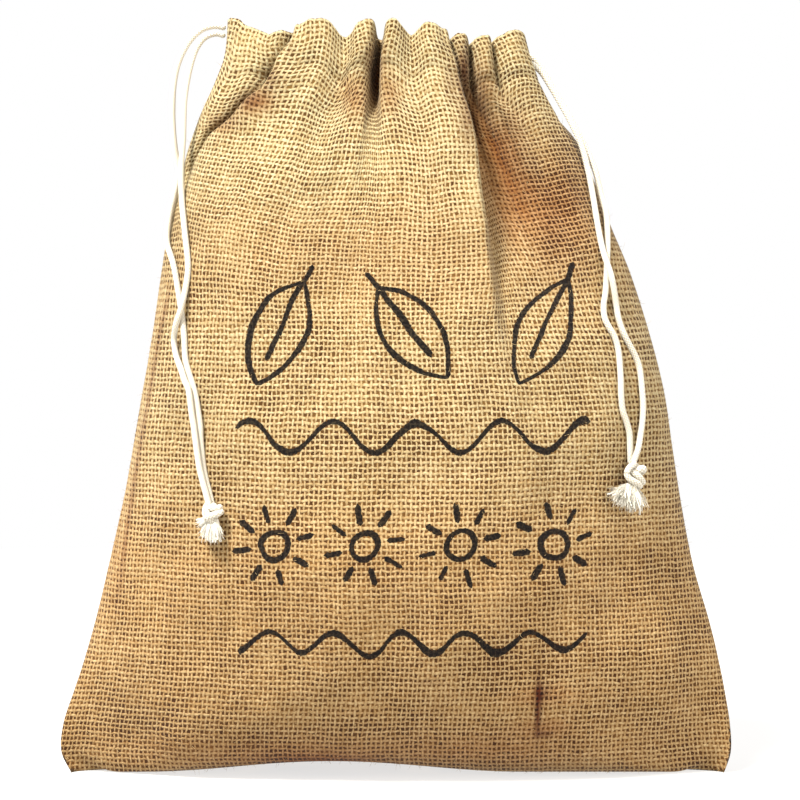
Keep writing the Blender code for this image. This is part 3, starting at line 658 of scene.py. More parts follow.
FRONT_FOLDS = np.array((
    (344.5, 0, 0, 0, 0), (335.5, 4, 0.2, 0, 0), (337, 10.5, 0.95, 0, 1),
    (339.5, 15, 0.8, -6.5, 0), (342.5, 22, 0.2, -1.5, 0), (334, 30, 0.5, 0, 0.3),
    (342, 36, 0.3, 1.5, 0), (333, 41.5, 0.3, 0, 1), (342, 47, 0.45, -2.5, 0),
    (335.5, 54, 0.4, 0, 0.2), (341, 60.5, 0.4, 1.5, 0), (338, 65, 0.6, 5, 0),
    (331, 68.5, 0.9, 0, 1), (336.5, 73, 0.4, 0, 0), (331.5, 77.5, 0.8, 0, 0.06),
    (336, 82, 0.3, 0, 0), (332.5, 87, 0.8, 0, 0.06), (338.5, 93.5, 0.2, 0, 0),
    (329, 100, 0, 0, 0),
))
print("fold lines of the front:", len(FRONT_FOLDS))

# %% Fold lines of the back
BACK_HEIGHTS = (339, 321, 295, 250, 220)
BACK_X = np.array((
    (-77, -79, -91.5, -103, -109), (-74, -76, -88, -99, -105.5),
    (-70, -72, -83, -93, -101),
    (-62.5, -64.5, -75, -84, -91), (-55, -57, -67.5, -76, -81),
    (-48, -49.5, -59.5, -67, -71), (-39.5, -41, -48.5, -55, -59),
    (-30.5, -32, -37, -42, -45), (-20.5, -21.5, -25, -28, -31),
    (-11, -11, -13, -14.5, -16), (-2.5, -2, -2, -2, -2),
    (5, 6, 8.5, 9.5, 10), (13, 14.5, 18.5, 21, 23),
    (21.5, 23.5, 28.5, 33, 36), (29.5, 32, 38.5, 45, 50),
    (37, 40, 48, 57, 64), (44, 48, 57, 68.5, 77),
    (51, 56.5, 66.5, 82, 91), (59, 66, 79.5, 98.5, 110),
))
BACK_OUT = np.array((
    (0, 0, 0, 0, 0), (1.5, 1.5, 1, 0, 0), (3.5, 3.5, 2, 0, 0),
    (-4, -4.5, -3.5, -1.5, 0),
    (3, 3, 2, 0.5, 0), (5, 5, 4.5, 2.5, 1), (-4, -4, -2.5, -1, 0),
    (4.5, 4.5, 3, 1, 0), (-6, -6.5, -5, -2.5, -1), (5.5, 6, 5, 3, 1.5),
    (-3.5, -3.5, -2, -1, 0), (4, 4, 2.5, 0.5, 0), (-5, -5.5, -3.5, -1.5, -0.5),
    (5, 5.5, 4.5, 2, 1), (-6, -6.5, -5, -2.5, -1), (4.5, 4.5, 3.5, 1.5, 0.5),
    (-3.5, -3.5, -2, -0.5, 0), (3.5, 3.5, 1.5, 0, 0), (0, 0, 0, 0, 0),
))
BACK_FOLDS = np.array((
    (343.5, 0, 0, 0, 0), (337, 2.5, 0, 0, 0), (332, 5, 0.2, 0, 0),
    (328.5, 10, 0.8, 0, 1),
    (332.5, 15, 0.2, 0, 0), (333.5, 20, 0.2, 1.5, 0), (329, 25.5, 0.8, 0, 1),
    (333.5, 32, 0.2, -1, 0), (328, 38.5, 0.9, 0, 1), (334, 45.5, 0.2, -2, 0),
    (330, 51.5, 0.8, 0, 1), (333, 57, 0.2, 1, 0), (328, 63, 0.8, 0, 1),
    (333.5, 69.5, 0.2, 2, 0), (329, 76, 0.9, 0, 1), (332.5, 82.5, 0.2, -1, 0),
    (328.5, 88.5, 0.8, 0, 1), (330.5, 94.5, 0.2, 0, 0), (329, 100, 0, 0, 0),
))
print("fold lines of the back:", len(BACK_FOLDS))

# %% The two halves
# Swells: x, height, reach sideways and up, stand-out. Rises of the edge: x, reach, rise. Arch: the
# share of the bottom fold's rise at each level. Pins: fold lines whose place on the flat cloth is
# known, and the share of the cloth to their left above the body, where a fold line has slid over
# the upright yarns and its share in the body no longer holds.
FRONT_SWELLS = np.array((
    (62, 262, 16, 34, -4), (-70, 236, 30, 40, 3),
    (-104, 40, 26, 26, 4), (112, 44, 26, 30, 4),
    (96, 118, 30, 36, -2.5), (-96, 132, 26, 44, -2.5),
    (10, 96, 60, 34, 2),
))
BACK_SWELLS = np.array((
    (-40, 240, 26, 40, -4), (46, 226, 30, 44, 4),
    (-92, 96, 34, 40, -3), (60, 110, 40, 46, -3),
    (-10, 150, 50, 50, 2),
))
FRONT = SimpleNamespace(
    sign=1.0, middle=(4, 5), heights=FRONT_HEIGHTS, line_x=FRONT_X, out=FRONT_OUT,
    folds=FRONT_FOLDS, swells=FRONT_SWELLS, groove=0.8,
    rises=((-66.5, 6.5, 3.4), (-52.0, 5.0, 1.4)),
    arch=(0.95, 1.0, 1.0, 0.85, 0.5, 0.2, 0.0),
    pins=(0, 4, 8, 11, 18), pinned=(0.0, 25.0, 50.0, 62.0, 100.0))
BACK = SimpleNamespace(
    sign=-1.0, middle=(6, 7), heights=BACK_HEIGHTS, line_x=BACK_X, out=BACK_OUT,
    folds=BACK_FOLDS, swells=BACK_SWELLS, groove=0.0, rises=(),
    arch=(0.95, 0.6, 0.3, 0.1, 0.0),
    pins=(0, 5, 9, 13, 18), pinned=(0.0, 20.0, 45.5, 69.5, 100.0))
print("swells:", len(FRONT.swells), "and", len(BACK.swells))

# %% [markdown]
# ## From tables to a surface
#
# The levels are joined by smooth curves, and each level's loop is a half ellipse in plan for the
# front and another for the back. The fold lines are places along the loop. Between two of them the
# cloth swings from one stand-out to the next: as an even wave where the fold is soft, and as a
# quarter circle where it is sharp, which makes round ridges and narrow valleys as real gathers do.

# %% Easing and reading between rows
HEIGHTS = np.concatenate((np.linspace(0.0, 250.0, 109), np.linspace(250.0, 339.0, 57)[1:]))
LEVEL_OF = np.interp(HEIGHTS, LEVELS[:, 0], np.arange(len(LEVELS)))


def smooth(value, start=0.0, end=1.0):
    """Nought up to `start`, one from `end` on, and 3tt - 2ttt between them, with t the share of
    the way. It falls from one to nought where `end` is the lower of the two."""
    t = np.clip((value - start) / (end - start), 0.0, 1.0)
    return t * t * (3.0 - 2.0 * t)


def bell(value, middle, reach):
    """One at the middle, and exp(-dd) at d times the reach from it."""
    return np.exp(-((value - middle) / reach) ** 2)


def at_rows(table, place):
    """Rows of a table at fractional row numbers, on a Catmull-Rom curve through the rows."""
    padded = with_ends(table)
    first = np.clip(np.floor(place).astype(int), 0, len(table) - 2)
    return catmull_rom(*(padded[first + i] for i in range(4)), (place - first)[:, None])


def along_rows(where, run, values):
    """Row by row, the values at the runs asked for. Each row is moved on by a long step, so that
    one straight interpolation serves them all."""
    moved = np.arange(len(run))[:, None] * 4.0 * run.max()
    return np.interp((where + moved).ravel(), (run + moved).ravel(),
                     values.ravel()).reshape(where.shape)


print("rows of the cloth:", len(HEIGHTS))

# %% The plain loop
OUTLINE_SAMPLES = 241


def plain_loop(half):
    """x, y, z of half a loop at every height, and the run along it. With the angle a from -90 to
    90 degrees: x = middle + w sin a, y = seam + d cos a, z from the seam's down to the middle's."""
    columns = [column[:, None] for column in at_rows(LEVELS, LEVEL_OF).T]
    seam_z, left, right, seam_y, come_down = (columns[i] for i in (0, 1, 2, 3, 8))
    middle_y, middle_z = (columns[i] for i in half.middle)
    angle = np.linspace(-math.pi / 2.0, math.pi / 2.0, OUTLINE_SAMPLES)[None, :]
    half_width = (right - left) / 2.0
    x = (left + right) / 2.0 + half_width * np.sin(angle)
    y = seam_y + (middle_y - seam_y) * np.cos(angle)
    from_seam = half_width * (1.0 - np.abs(np.sin(angle)))
    z = seam_z + (middle_z - seam_z) * smooth(from_seam / come_down)
    steps = np.sqrt(np.diff(x, axis=1) ** 2 + np.diff(y, axis=1) ** 2 + np.diff(z, axis=1) ** 2)
    return x, y, z, np.concatenate((np.zeros_like(seam_z), np.cumsum(steps, axis=1)), axis=1)


# %% The fold lines on it
STEPS = 10                       # columns from one fold line to the next
OUT_BEGINS = 190.0, 230.0        # heights from which and by which a fold stands out
DRAWN_BY = BODY_HEIGHT, 245.0    # the same for its drawn place, against its share of the loop
KEEN_BY = 240.0, 290.0           # and for its sharpness
CROWDING = 0.75                  # share in which columns crowd towards the fold lines


def fold_lines(half, x, run):
    """Each fold line's place along the loop, as a share of it, and its stand-out, at every height.
    Low down the places are the folds' shares of the cloth, and even ones at the bottom fold."""
    height = HEIGHTS[:, None]
    row = np.interp(HEIGHTS, half.heights[::-1], np.arange(len(half.heights)))
    line_x = at_rows(half.line_x.T[::-1], row)
    line_x[:, 0], line_x[:, -1] = x[:, 0], x[:, -1]
    drawn = along_rows(line_x - x[:, :1], x - x[:, :1], run) / run[:, -1:]
    even = smooth(height, 0.0, LEVELS[1, 0])
    low = (half.folds[:, 1] / 100.0 * even
           + np.linspace(0.0, 1.0, len(half.folds)) * (1.0 - even))
    by_x = smooth(height, *DRAWN_BY)
    out = at_rows(half.out.T[::-1], row) * smooth(height, *OUT_BEGINS)
    return drawn * by_x + low * (1.0 - by_x), out


def swings(out, sharp):
    """For the columns from each fold line to the next, their shares of the way along and of the
    way out: a wave, (1 - cos(pi s)) / 2, or a quarter circle, 1 - cos(q) against sin(q)."""
    s = np.arange(STEPS) / STEPS
    quarter = np.sin(s * math.pi / 2.0), 1.0 - np.cos(s * math.pi / 2.0)
    rising = (np.diff(out, axis=1) > 0.0)[:, :, None]
    keen_here = smooth(HEIGHTS, *KEEN_BY)[:, None, None]
    keen = np.maximum(sharp[:-1], sharp[1:])[:, None] * keen_here
    wave = s * (1.0 - keen_here) + (s + CROWDING * np.sin(TURN * s) / TURN) * keen_here
    along = wave * (1.0 - keen) + np.where(rising, quarter[1], quarter[0]) * keen
    outwards = ((1.0 - np.cos(s * math.pi)) / 2.0 * (1.0 - keen)
                + np.where(rising, quarter[0], quarter[1]) * keen)
    return along, outwards


def spread(values, share):
    """Values at the fold lines, carried to every column between them."""
    start, end = values[:, :-1, None], values[:, 1:, None]
    inner = (start + (end - start) * share).reshape(len(values), -1)
    return np.concatenate((inner, values[:, -1:]), axis=1)


# %% Swells, dents and the heading
SEAM_STRIP = 9.0                 # mm from the left seam to the groove beside its allowance
GROOVE_REACH = 1.4               # mm from its middle to where it is a third as deep
GROWN_BY = 24.0, 54.0            # heights from which and by which the filling shapes the cloth
SIDE_EASE = 22.0                 # mm from a seam over which swells and dents fade in
PUFF = 1.1                       # mm that the heading swells out
STITCH_DIP, STITCH_REACH = 0.9, 1.8      # mm in, and mm up or down, at the stitch line
# Small dents, and the waves of the edge: shortest and longest wave, depth (mm), seed.
DENTS = ((34.0, 70.0), 0.7, 5), ((11.0, 22.0), 0.28, 7)
EDGE_WAVES = (4.0, 11.0), 0.4, 13


def unevenness(x, z, waves, size, seed):
    """A sum of nine sine waves with chance directions, lengths and phases."""
    drawn = np.random.default_rng(seed)
    total = np.zeros_like(x)
    for wave in drawn.uniform(*waves, 9):
        turn, phase = drawn.uniform(0.0, TURN, 2)
        total += np.sin(TURN / wave * (x * math.cos(turn) + z * math.sin(turn)) + phase)
    return total * size / 3.0


def beside_seam(height):
    """How much of the groove beside the left seam there is at a height."""
    return smooth(height, 60.0, 110.0) * smooth(height, 232.0, 212.0)


def filled_out(half, stand, where, place, side):
    """The stand-outs with the swells and dents that the filling gives, the groove, the soft puff
    of the heading and the dip at its stitch line."""
    height = HEIGHTS[:, None]
    grown = smooth(height, *GROWN_BY)
    for at_x, at_z, reach_x, reach_z, out in half.swells:
        far = ((place[0] - at_x) / reach_x) ** 2 + ((place[2] - at_z) / reach_z) ** 2
        stand = stand + out * np.exp(-far) * grown
    for dents in DENTS:
        upwards = place[2] + place[1] * 0.7 * half.sign
        stand = stand + unevenness(place[0], upwards, *dents) * grown * side
    stand = stand - half.groove * bell(where, SEAM_STRIP, GROOVE_REACH) * beside_seam(height)
    heading = (height - STITCH_HEIGHT) / (EDGE_HEIGHT - STITCH_HEIGHT)
    stand = stand + PUFF * np.sin(np.clip(heading, 0.0, 1.0) * math.pi) * side
    return stand - STITCH_DIP * bell(height, STITCH_HEIGHT, STITCH_REACH) * side


# %% One half of the sack
RISING_FROM = 285.0              # the rows begin to follow the uneven edge
LEAN_BY = 270.0, 306.0           # heights from which and by which a fold leans over
UPRIGHT_BY = 322.0, 336.0        # heights by which half of that lean is gone again
ARCH_FROM, ARCH_TO, ARCH_RISE = -116.0, 58.0, 5.0    # where the bottom fold is off the floor


def half_of_cloth(half):
    """Points (rows, columns, 3) of the front or the back, from the left seam to the right one, and
    how far each stands out: the loop, plus stand-outs along its normal and leans along it."""
    height = HEIGHTS[:, None]
    x, y, z, run = plain_loop(half)
    line, out = fold_lines(half, x, run)
    edge_z, _, sharp, lean, _ = half.folds.T
    along, outwards = swings(out, sharp)
    where = spread(line, along) * run[:, -1:]
    stand = spread(out, outwards)
    lift = smooth(height, RISING_FROM, STITCH_HEIGHT)
    rise = spread(np.broadcast_to(edge_z - EDGE_HEIGHT, out.shape), outwards) * lift
    leaning = smooth(height, *LEAN_BY) * (1.0 - 0.5 * smooth(height, *UPRIGHT_BY))
    slant = spread(lean * leaning, outwards)
    place = [along_rows(where, run, values) for values in (x, y, z)]
    place[2] = place[2] + rise
    way_x, way_y = (along_rows(where, run, np.gradient(values, axis=1)) for values in (x, y))
    size = np.hypot(way_x, way_y)
    way_x, way_y = way_x / size, way_y / size

    side = smooth(np.minimum(where, run[:, -1:] - where), 0.0, SIDE_EASE)
    stand = filled_out(half, stand, where, place, side)
    place_x = place[0] + half.sign * way_y * stand + way_x * slant
    place_y = place[1] - half.sign * way_x * stand + way_y * slant
    near_edge = smooth(height, 322.0, EDGE_HEIGHT) * side
    place_z = place[2] + unevenness(where, where * 0.37, *EDGE_WAVES) * near_edge
    for at_x, reach, edge_rise in half.rises:
        place_z = place_z + edge_rise * bell(place_x, at_x, reach) * lift
    across = np.clip((place_x - ARCH_FROM) / (ARCH_TO - ARCH_FROM), 0.0, 1.0)
    of_arch = np.interp(LEVEL_OF, np.arange(len(half.arch)), half.arch)[:, None]
    place_z = place_z + ARCH_RISE * np.sin(math.pi * across) ** 2 * of_arch
    return np.stack((place_x, place_y, place_z), axis=-1), stand


(front_cloth, front_stand), (back_cloth, back_stand) = map(half_of_cloth, (FRONT, BACK))
for line in (np.s_[:, 0], np.s_[:, -1], np.s_[0]):
    meeting = (front_cloth[line] + back_cloth[line]) / 2.0
    front_cloth[line] = meeting
    back_cloth[line] = meeting
print("front and back:", front_cloth.shape[:2], "points each")

# %% [markdown]
# ## The weave's place on the cloth
#
# Yarns keep their distance from each other, whatever the cloth does. So each point needs its place
# on the flat cloth, across and up. High up it is found by adding up the distances between points,
# with the cloth that is not seen tucked into the valleys. In the body the yarns run level and
# upright, and only near the seams does the cloth give.

# %% Distances added up
CLOTH_WIDTH = 300.0              # mm from seam to seam, laid flat
CLOTH_HEIGHT = 375.0             # mm from the bottom fold to the edge of the heading
STRAIGHTNESS = 0.7               # share in which a level yarn keeps to the mean of its row
SEAM_EASE = 0.8                  # the cloth gives where its slope at the seam is over 1 / this
MOST_EASE = 1.6                  # and never by more than this


def flat_places(half, points):
    """Where each point lies on the flat cloth, across and up. Across is the true distance from
    point to point. What is left between two pinned fold lines is tucked into the valleys, and near
    a seam the cloth gives. Up is the distance along the column, drawn towards its row's mean."""
    true_steps = np.linalg.norm(np.diff(points, axis=1), axis=2)
    steps = true_steps.copy()
    hides = np.repeat(half.folds[:, 4], STEPS)[:-(STEPS - 1)]
    hides = hides * (np.arange(len(hides)) % STEPS == 0)
    hides = np.convolve(hides, np.hanning(2 * STEPS + 1), "same") + 0.01
    weight = (hides[:-1] + hides[1:]) * steps
    gathered = smooth(HEIGHTS[:, None], BODY_HEIGHT, BODY_HEIGHT + 50.0)
    line_share = (half.folds[list(half.pins), 1] * (1.0 - gathered)
                  + np.array(half.pinned) * gathered)
    for first, last, share in zip(half.pins[:-1], half.pins[1:], np.diff(line_share, axis=1).T):
        part = np.s_[:, first * STEPS:last * STEPS]
        wanted = share[:, None] / 100.0 * CLOTH_WIDTH
        shown = steps[part].sum(axis=1, keepdims=True)
        spare = wanted - shown
        tucked = steps[part] + weight[part] * spare / weight[part].sum(axis=1, keepdims=True)
        steps[part] = np.where(spare > 0.0, tucked, steps[part] * wanted / shown)
    first, last = half.pins[1] * STEPS, half.pins[-2] * STEPS
    anchor = steps[:, :first].sum(axis=1, keepdims=True)
    turned = true_steps / np.maximum(np.abs(np.diff(points[..., 0], axis=1)), 0.01)
    easy = np.clip(SEAM_EASE * turned, 1.0, MOST_EASE)
    easy[:, first:last] = 1.0
    across = np.zeros(points.shape[:2])
    across[:, 1:] = np.cumsum(steps / easy, axis=1)
    across += anchor - across[:, first][:, None]
    rise = np.linalg.norm(np.diff(points, axis=0), axis=2)
    up = np.concatenate((np.zeros((1, points.shape[1])), np.cumsum(rise, axis=0)))
    up = up * CLOTH_HEIGHT / up[-1:]
    return across, up * (1.0 - STRAIGHTNESS) + up.mean(axis=1, keepdims=True) * STRAIGHTNESS


# %% Level and upright yarns
LEVEL_TO = 215.0                 # the yarns run level up to here
LEVEL_EASE = 1.05                # height of a stretch of the body to the length of its cloth
ROWS, ROW_GAP = 45, 4.0          # a table of level half ellipses, every 4 mm
COLUMNS = 90                     # its steps along each of them, 2 degrees each


def levelled(half, points, across, up):
    """The same places, but level and upright in the body. Up: reference + (z - its z) / ease.
    Across: the distance along a level half ellipse, the sum of sqrt((w cos a)^2 + (d sin a)^2),
    eased towards the seams."""
    x, z = points[..., 0], points[..., 2]
    left, right = (np.interp(z, LEVELS[:, 0], LEVELS[:, column]) for column in (1, 2))
    share = np.clip((2.0 * x - left - right) / (right - left), -1.0, 1.0)
    level_z = np.linspace(0.0, ROWS * ROW_GAP, ROWS + 1)
    angle = np.linspace(-math.pi / 2.0, math.pi / 2.0, COLUMNS + 1)
    width = np.interp(level_z, LEVELS[:, 0], (LEVELS[:, 2] - LEVELS[:, 1]) / 2.0)[:, None]
    middle_y, middle_z = (LEVELS[:, column] for column in half.middle)
    deep = np.abs(np.interp(level_z, middle_z, middle_y)
                  - np.interp(level_z, LEVELS[:, 0], LEVELS[:, 3]))[:, None]
    slope = np.hypot(width * np.cos(angle), deep * np.sin(angle))
    easy = np.clip(SEAM_EASE * slope / np.maximum(width * np.cos(angle), 0.01), 1.0, MOST_EASE)
    step = slope / easy
    run = np.cumsum((step[:, 1:] + step[:, :-1]) / 2.0, axis=1) * (angle[1] - angle[0])
    run = np.concatenate((np.zeros_like(width), run), axis=1)
    run += CLOTH_WIDTH / 2.0 - run[:, COLUMNS // 2:COLUMNS // 2 + 1]
    row = np.clip(z / ROW_GAP, 0.0, ROWS - 0.001)
    column = np.clip((np.arcsin(share) / math.pi + 0.5) * COLUMNS, 0.0, COLUMNS - 0.001)
    r, c = row.astype(int), column.astype(int)
    of_row, of_column = row - r, column - c
    low = ((run[r, c] * (1.0 - of_column) + run[r, c + 1] * of_column) * (1.0 - of_row)
           + (run[r + 1, c] * (1.0 - of_column) + run[r + 1, c + 1] * of_column) * of_row)
    high_up = smooth(z, 110.0, 170.0)
    across = low * (1.0 - high_up) + across * high_up
    reference = np.interp(LEVEL_TO, z.mean(axis=1), up.mean(axis=1))
    level_up = reference + (z - LEVEL_TO) / LEVEL_EASE
    high_up = smooth(z - LEVEL_TO, -20.0, 50.0)
    return across, level_up * (1.0 - high_up) + up * high_up


(front_across, front_up), (back_across, back_up) = (
    levelled(half, cloth, *flat_places(half, cloth))
    for half, cloth in ((FRONT, front_cloth), (BACK, back_cloth)))
back_across = front_across[:, -1:] + back_across[:, -1:] - back_across
across = np.concatenate((front_across, back_across[:, ::-1][:, 1:]), axis=1)
up = np.concatenate((front_up, back_up[:, ::-1][:, 1:]), axis=1)
print("cloth", round(float(across[80, -1])), "mm round")

# %% [markdown]
# ## One closed sheet
#
# Rendered cloth needs two faces. The outside runs up the sack, turns over the edge of the heading
# in a small round fold, and comes down again inside. Front and back together make one grid that is
# closed round the sack, and the two meet along the bottom fold. A Solidify modifier could add the
# inner face, but it would cut through itself in the narrow valleys and at the flat foot.

# %% The inner face
CLOTH_THICKNESS = 1.2            # mm, one layer
HEADING_THICKNESS = 2.2          # mm, the turned-in heading
THIN_BY = 120.0, 60.0            # heights from which, downwards, and by which it is thinned
SHARE_OF_ROOM = 0.25             # to this share of the room inside


def inward(points, sign):
    """Unit vectors from each point towards the inside: the cross product of the two directions
    along the grid."""
    return unit(np.cross(np.gradient(points, axis=0), np.gradient(points, axis=1)) * sign)


def closed_round(front, back):
    """Front columns from left to right and then back columns from right to left, without the two
    seams a second time."""
    return np.concatenate((front, back[:, ::-1][:, 1:-1]), axis=1)


front_in, back_in = inward(front_cloth, 1.0), inward(back_cloth, -1.0)
for line in (np.s_[:, 0], np.s_[:, -1]):
    meeting = front_in[line] + back_in[line]
    size = np.maximum(np.linalg.norm(meeting, axis=1, keepdims=True), 0.001)
    front_in[line] = back_in[line] = meeting / size
room = np.abs(front_cloth[..., 1] - back_cloth[..., 1])
height = HEIGHTS[:, None]
layers = CLOTH_THICKNESS + (HEADING_THICKNESS - CLOTH_THICKNESS) * smooth(
    height, STITCH_HEIGHT, STITCH_HEIGHT + 3.0)
low = smooth(height, *THIN_BY)
thick = np.minimum(layers, layers * (1.0 - low) + SHARE_OF_ROOM * room * low)
inner_front = front_cloth + front_in * thick[..., None]
inner_back = back_cloth + back_in * thick[..., None]
inner_front[0] = inner_back[0] = (inner_front[0] + inner_back[0]) / 2.0
outside = closed_round(front_cloth, back_cloth)
inside = closed_round(inner_front, inner_back)
print("cloth", thick.min().round(2), "to", thick.max().round(2), "mm thick")

# %% The closed sheet
RIM_ROWS = 5                     # rows round the folded edge
INNER_STEP = 2                   # the inner face keeps every second row

edge_out, edge_in = outside[-1], inside[-1]
rim_angle = np.linspace(0.0, math.pi, RIM_ROWS + 2)[1:-1, None, None]
rim_middle = (edge_out + edge_in) / 2.0
rim_radius = np.linalg.norm(edge_out - edge_in, axis=1)[None, :, None] / 2.0
rim = (rim_middle + np.cos(rim_angle) * (edge_out - rim_middle)
       + np.sin(rim_angle) * rim_radius * np.array([0.0, 0.0, 1.0]))


def carried(values):
    """Values at the outside's points, kept over the rim and again down the inside."""
    return np.concatenate((values, np.repeat(values[-1:], RIM_ROWS, axis=0),
                           values[::-INNER_STEP]))


sheet_points = np.concatenate((outside, rim, inside[::-INNER_STEP]))
sheet_points[..., 2] = np.maximum(sheet_points[..., 2], 0.0)
sheet_stand = carried(closed_round(front_stand, back_stand))
sheet_across = carried(across)
rim_up = CLOTH_HEIGHT + np.linspace(0.5, 3.0, RIM_ROWS)[:, None] * np.ones_like(up[:1])
sheet_up = np.concatenate((up, rim_up, 2.0 * CLOTH_HEIGHT + 4.0 - up[::-INNER_STEP]))
print("sheet:", sheet_points.shape[:2], "points, edge length", round(float(run_of(edge_out)[-1])))

# %% [markdown]
# ## The hessian finish
#
# Hessian is a plain weave of thick, hairy jute yarns: one over, one under, about twelve to the
# inch, with small dark holes between them. The yarns are uneven, so in some places the holes close
# and in others they gape. Yarns modelled one by one would take millions of faces, and a picture
# of hessian would repeat itself. So the finish builds the weave from numbers: each yarn's own
# number gives its colour and width, and the distance from its middle line its round height.

# %% One set of yarns
WARP_PITCH = 2.09                # mm from one upright yarn to the next
WEFT_PITCH = 2.28                # mm from one level yarn to the next
SLUB_ACROSS, SLUB_ALONG = 5.17, 0.42     # noise per yarn: thick places a few yarns long
FIBRE_ACROSS, FIBRE_ALONG = 11.0, 1.6    # noise per yarn: about eleven fibres side by side


def yarn_set(tree, own, other, sign, slack, width, lay, seed):
    """Height, tone and fibre streaks of the upright or the level yarns. `own` counts the yarns,
    `other` those that they cross. A yarn's section is a half circle, sqrt(1 - dd), round a middle
    line that wanders, and it goes over and under as cos(pi times the other count)."""
    number = node(tree, "FLOOR", own)
    chance_of = node(tree, "dice", node(tree, "ADD", number, seed), noise_dimensions="1D")[0]
    along = node(tree, "join", node(tree, "MULTIPLY_ADD", number, SLUB_ACROSS, seed),
                 node(tree, "MULTIPLY", other, SLUB_ALONG))
    slub = node(tree, "split", node(tree, "flat noise", along, 1.0, 3.0, 0.65)["Color"])
    fibres = node(tree, "join", node(tree, "MULTIPLY", own, FIBRE_ACROSS),
                  node(tree, "MULTIPLY_ADD", other, FIBRE_ALONG, seed))
    streak = node(tree, "flat noise", fibres, 1.0, 2.0)[0]
    width = node(tree, "ADD", node(tree, "MULTIPLY_ADD", slub[0], 0.6, width), slack)
    off = node(tree, "MULTIPLY_ADD", slub[1], 0.7, -0.85)
    off = node(tree, "DIVIDE", node(tree, "ADD", node(tree, "FRACT", own), off), width)
    square = node(tree, "MULTIPLY_ADD", node(tree, "MULTIPLY", off, off), -4.0, 1.0,
                  use_clamp=True)
    there = node(tree, "GREATER_THAN", square, 0.001)
    place = node(tree, "MULTIPLY_ADD", node(tree, "FRACT", other), math.pi, -math.pi / 2.0)
    wave = node(tree, "MULTIPLY", node(tree, "COSINE", place), sign)
    lifted = node(tree, "MULTIPLY_ADD", wave, 0.15 * lay, 0.4)
    raised = node(tree, "MULTIPLY_ADD", node(tree, "SQRT", square), 0.4, lifted)
    height = node(tree, "MULTIPLY", raised, there)
    mixed = node(tree, "MULTIPLY_ADD", slub[2], 1.5, -0.5)
    tone = node(tree, "MULTIPLY_ADD", chance_of, 0.5, mixed, use_clamp=True)
    return height, tone, streak


# %% The weave
WANDER = 1.8                     # mm that a yarn strays to either side, over some 33 mm
OPENING = 0.14                   # share of the pitch that a yarn thins by where the weave is open


def woven_yarns(tree, place):
    """Height of the weave, then the tone and the streaks of the yarn that lies on top, and a
    chance number for each hole. Noise scales here are per millimetre of cloth."""
    slow = node(tree, "flat noise", place, 0.03, 2.0)["Color"]
    shift = node(tree, "vector", slow, (WANDER, WANDER, 0.0), (-WANDER / 2, -WANDER / 2, 0.0),
                 operation="MULTIPLY_ADD")
    a, b, _ = node(tree, "split", node(tree, "vector", place, shift))
    a, b = node(tree, "MULTIPLY", a, 1.0 / WARP_PITCH), node(tree, "MULTIPLY", b, 1.0 / WEFT_PITCH)
    both = node(tree, "ADD", node(tree, "FLOOR", a), node(tree, "FLOOR", b))
    odd = node(tree, "FLOORED_MODULO", both, 2.0)
    sign = node(tree, "MULTIPLY_ADD", odd, 2.0, -1.0)
    patch = node(tree, "flat noise", place, 0.05, 3.0)[0]
    patch = node(tree, "MULTIPLY_ADD", patch, -0.36, 0.18)
    opening = node(tree, "value", attribute_name="open_weave")["Fac"]
    slack = node(tree, "MULTIPLY_ADD", opening, -OPENING, patch)
    hole = node(tree, "dice", node(tree, "join", node(tree, "ROUND", a), node(tree, "ROUND", b)),
                noise_dimensions="2D")[0]
    hole = node(tree, "MULTIPLY_ADD", slack, 2.0, node(tree, "MULTIPLY_ADD", hole, 0.4, 0.25))
    warp = yarn_set(tree, a, b, sign, slack, 0.19, 1.0, 0.0)
    weft = yarn_set(tree, b, a, sign, slack, 0.25, -1.0, 57.3)
    on_top = node(tree, "GREATER_THAN", warp[0], weft[0])
    tone, streak = (node(tree, "choose", on_top, weft[i], warp[i]) for i in (1, 2))
    return node(tree, "MAXIMUM", warp[0], weft[0]), tone, streak, hole


# %% [markdown]
# ## The brush drawing
#
# A small sack like this is often decorated by hand with a loaded brush. The drawing here is a
# plain one of leaves, waves and little suns. It is laid out with the front's own x and height in
# millimetres, so each motif is a short formula and its edge stays crisp, where a painted image
# would blur up close. A gentle noise moves the lines as a hand would, and the ink takes better on
# the yarn tops than in the holes.


# %% Waves
def beyond(tree, value, low, high):
    """Nought between two values, and how far outside them otherwise."""
    under, over = node(tree, "SUBTRACT", low, value), node(tree, "SUBTRACT", value, high)
    return node(tree, "MAXIMUM", node(tree, "MAXIMUM", under, over), 0.0)


DRAWN_SIDES = -70.0, 84.0        # mm; x where the waves begin and end
SLANT = 0.82                     # a wave's distance straight up, to that across its slant


def wave_line(tree, x, z, middle, rise, length, phase):
    """Distance to the line z = middle + rise sin(2 pi x / length + phase), which ends at both
    sides of the drawing."""
    turn = node(tree, "MULTIPLY_ADD", x, TURN / length, phase)
    wave = node(tree, "MULTIPLY_ADD", node(tree, "SINE", turn), rise, middle)
    off = node(tree, "ABSOLUTE", node(tree, "SUBTRACT", z, wave))
    return node(tree, "ADD", node(tree, "MULTIPLY", off, SLANT),
                beyond(tree, x, *DRAWN_SIDES))


# %% Motifs in a row
FAR_OFF = 50.0                   # mm added for each motif's width outside the row


def repeated(tree, x, first, pitch):
    """The motif's number along the row, and the place in it: the part after the point of
    (x - first) / pitch, less a half, times the pitch."""
    count = node(tree, "DIVIDE", node(tree, "SUBTRACT", x, first), pitch)
    number = node(tree, "FLOOR", count)
    part = node(tree, "SUBTRACT", count, number)
    return number, node(tree, "MULTIPLY_ADD", part, pitch, -pitch / 2.0)


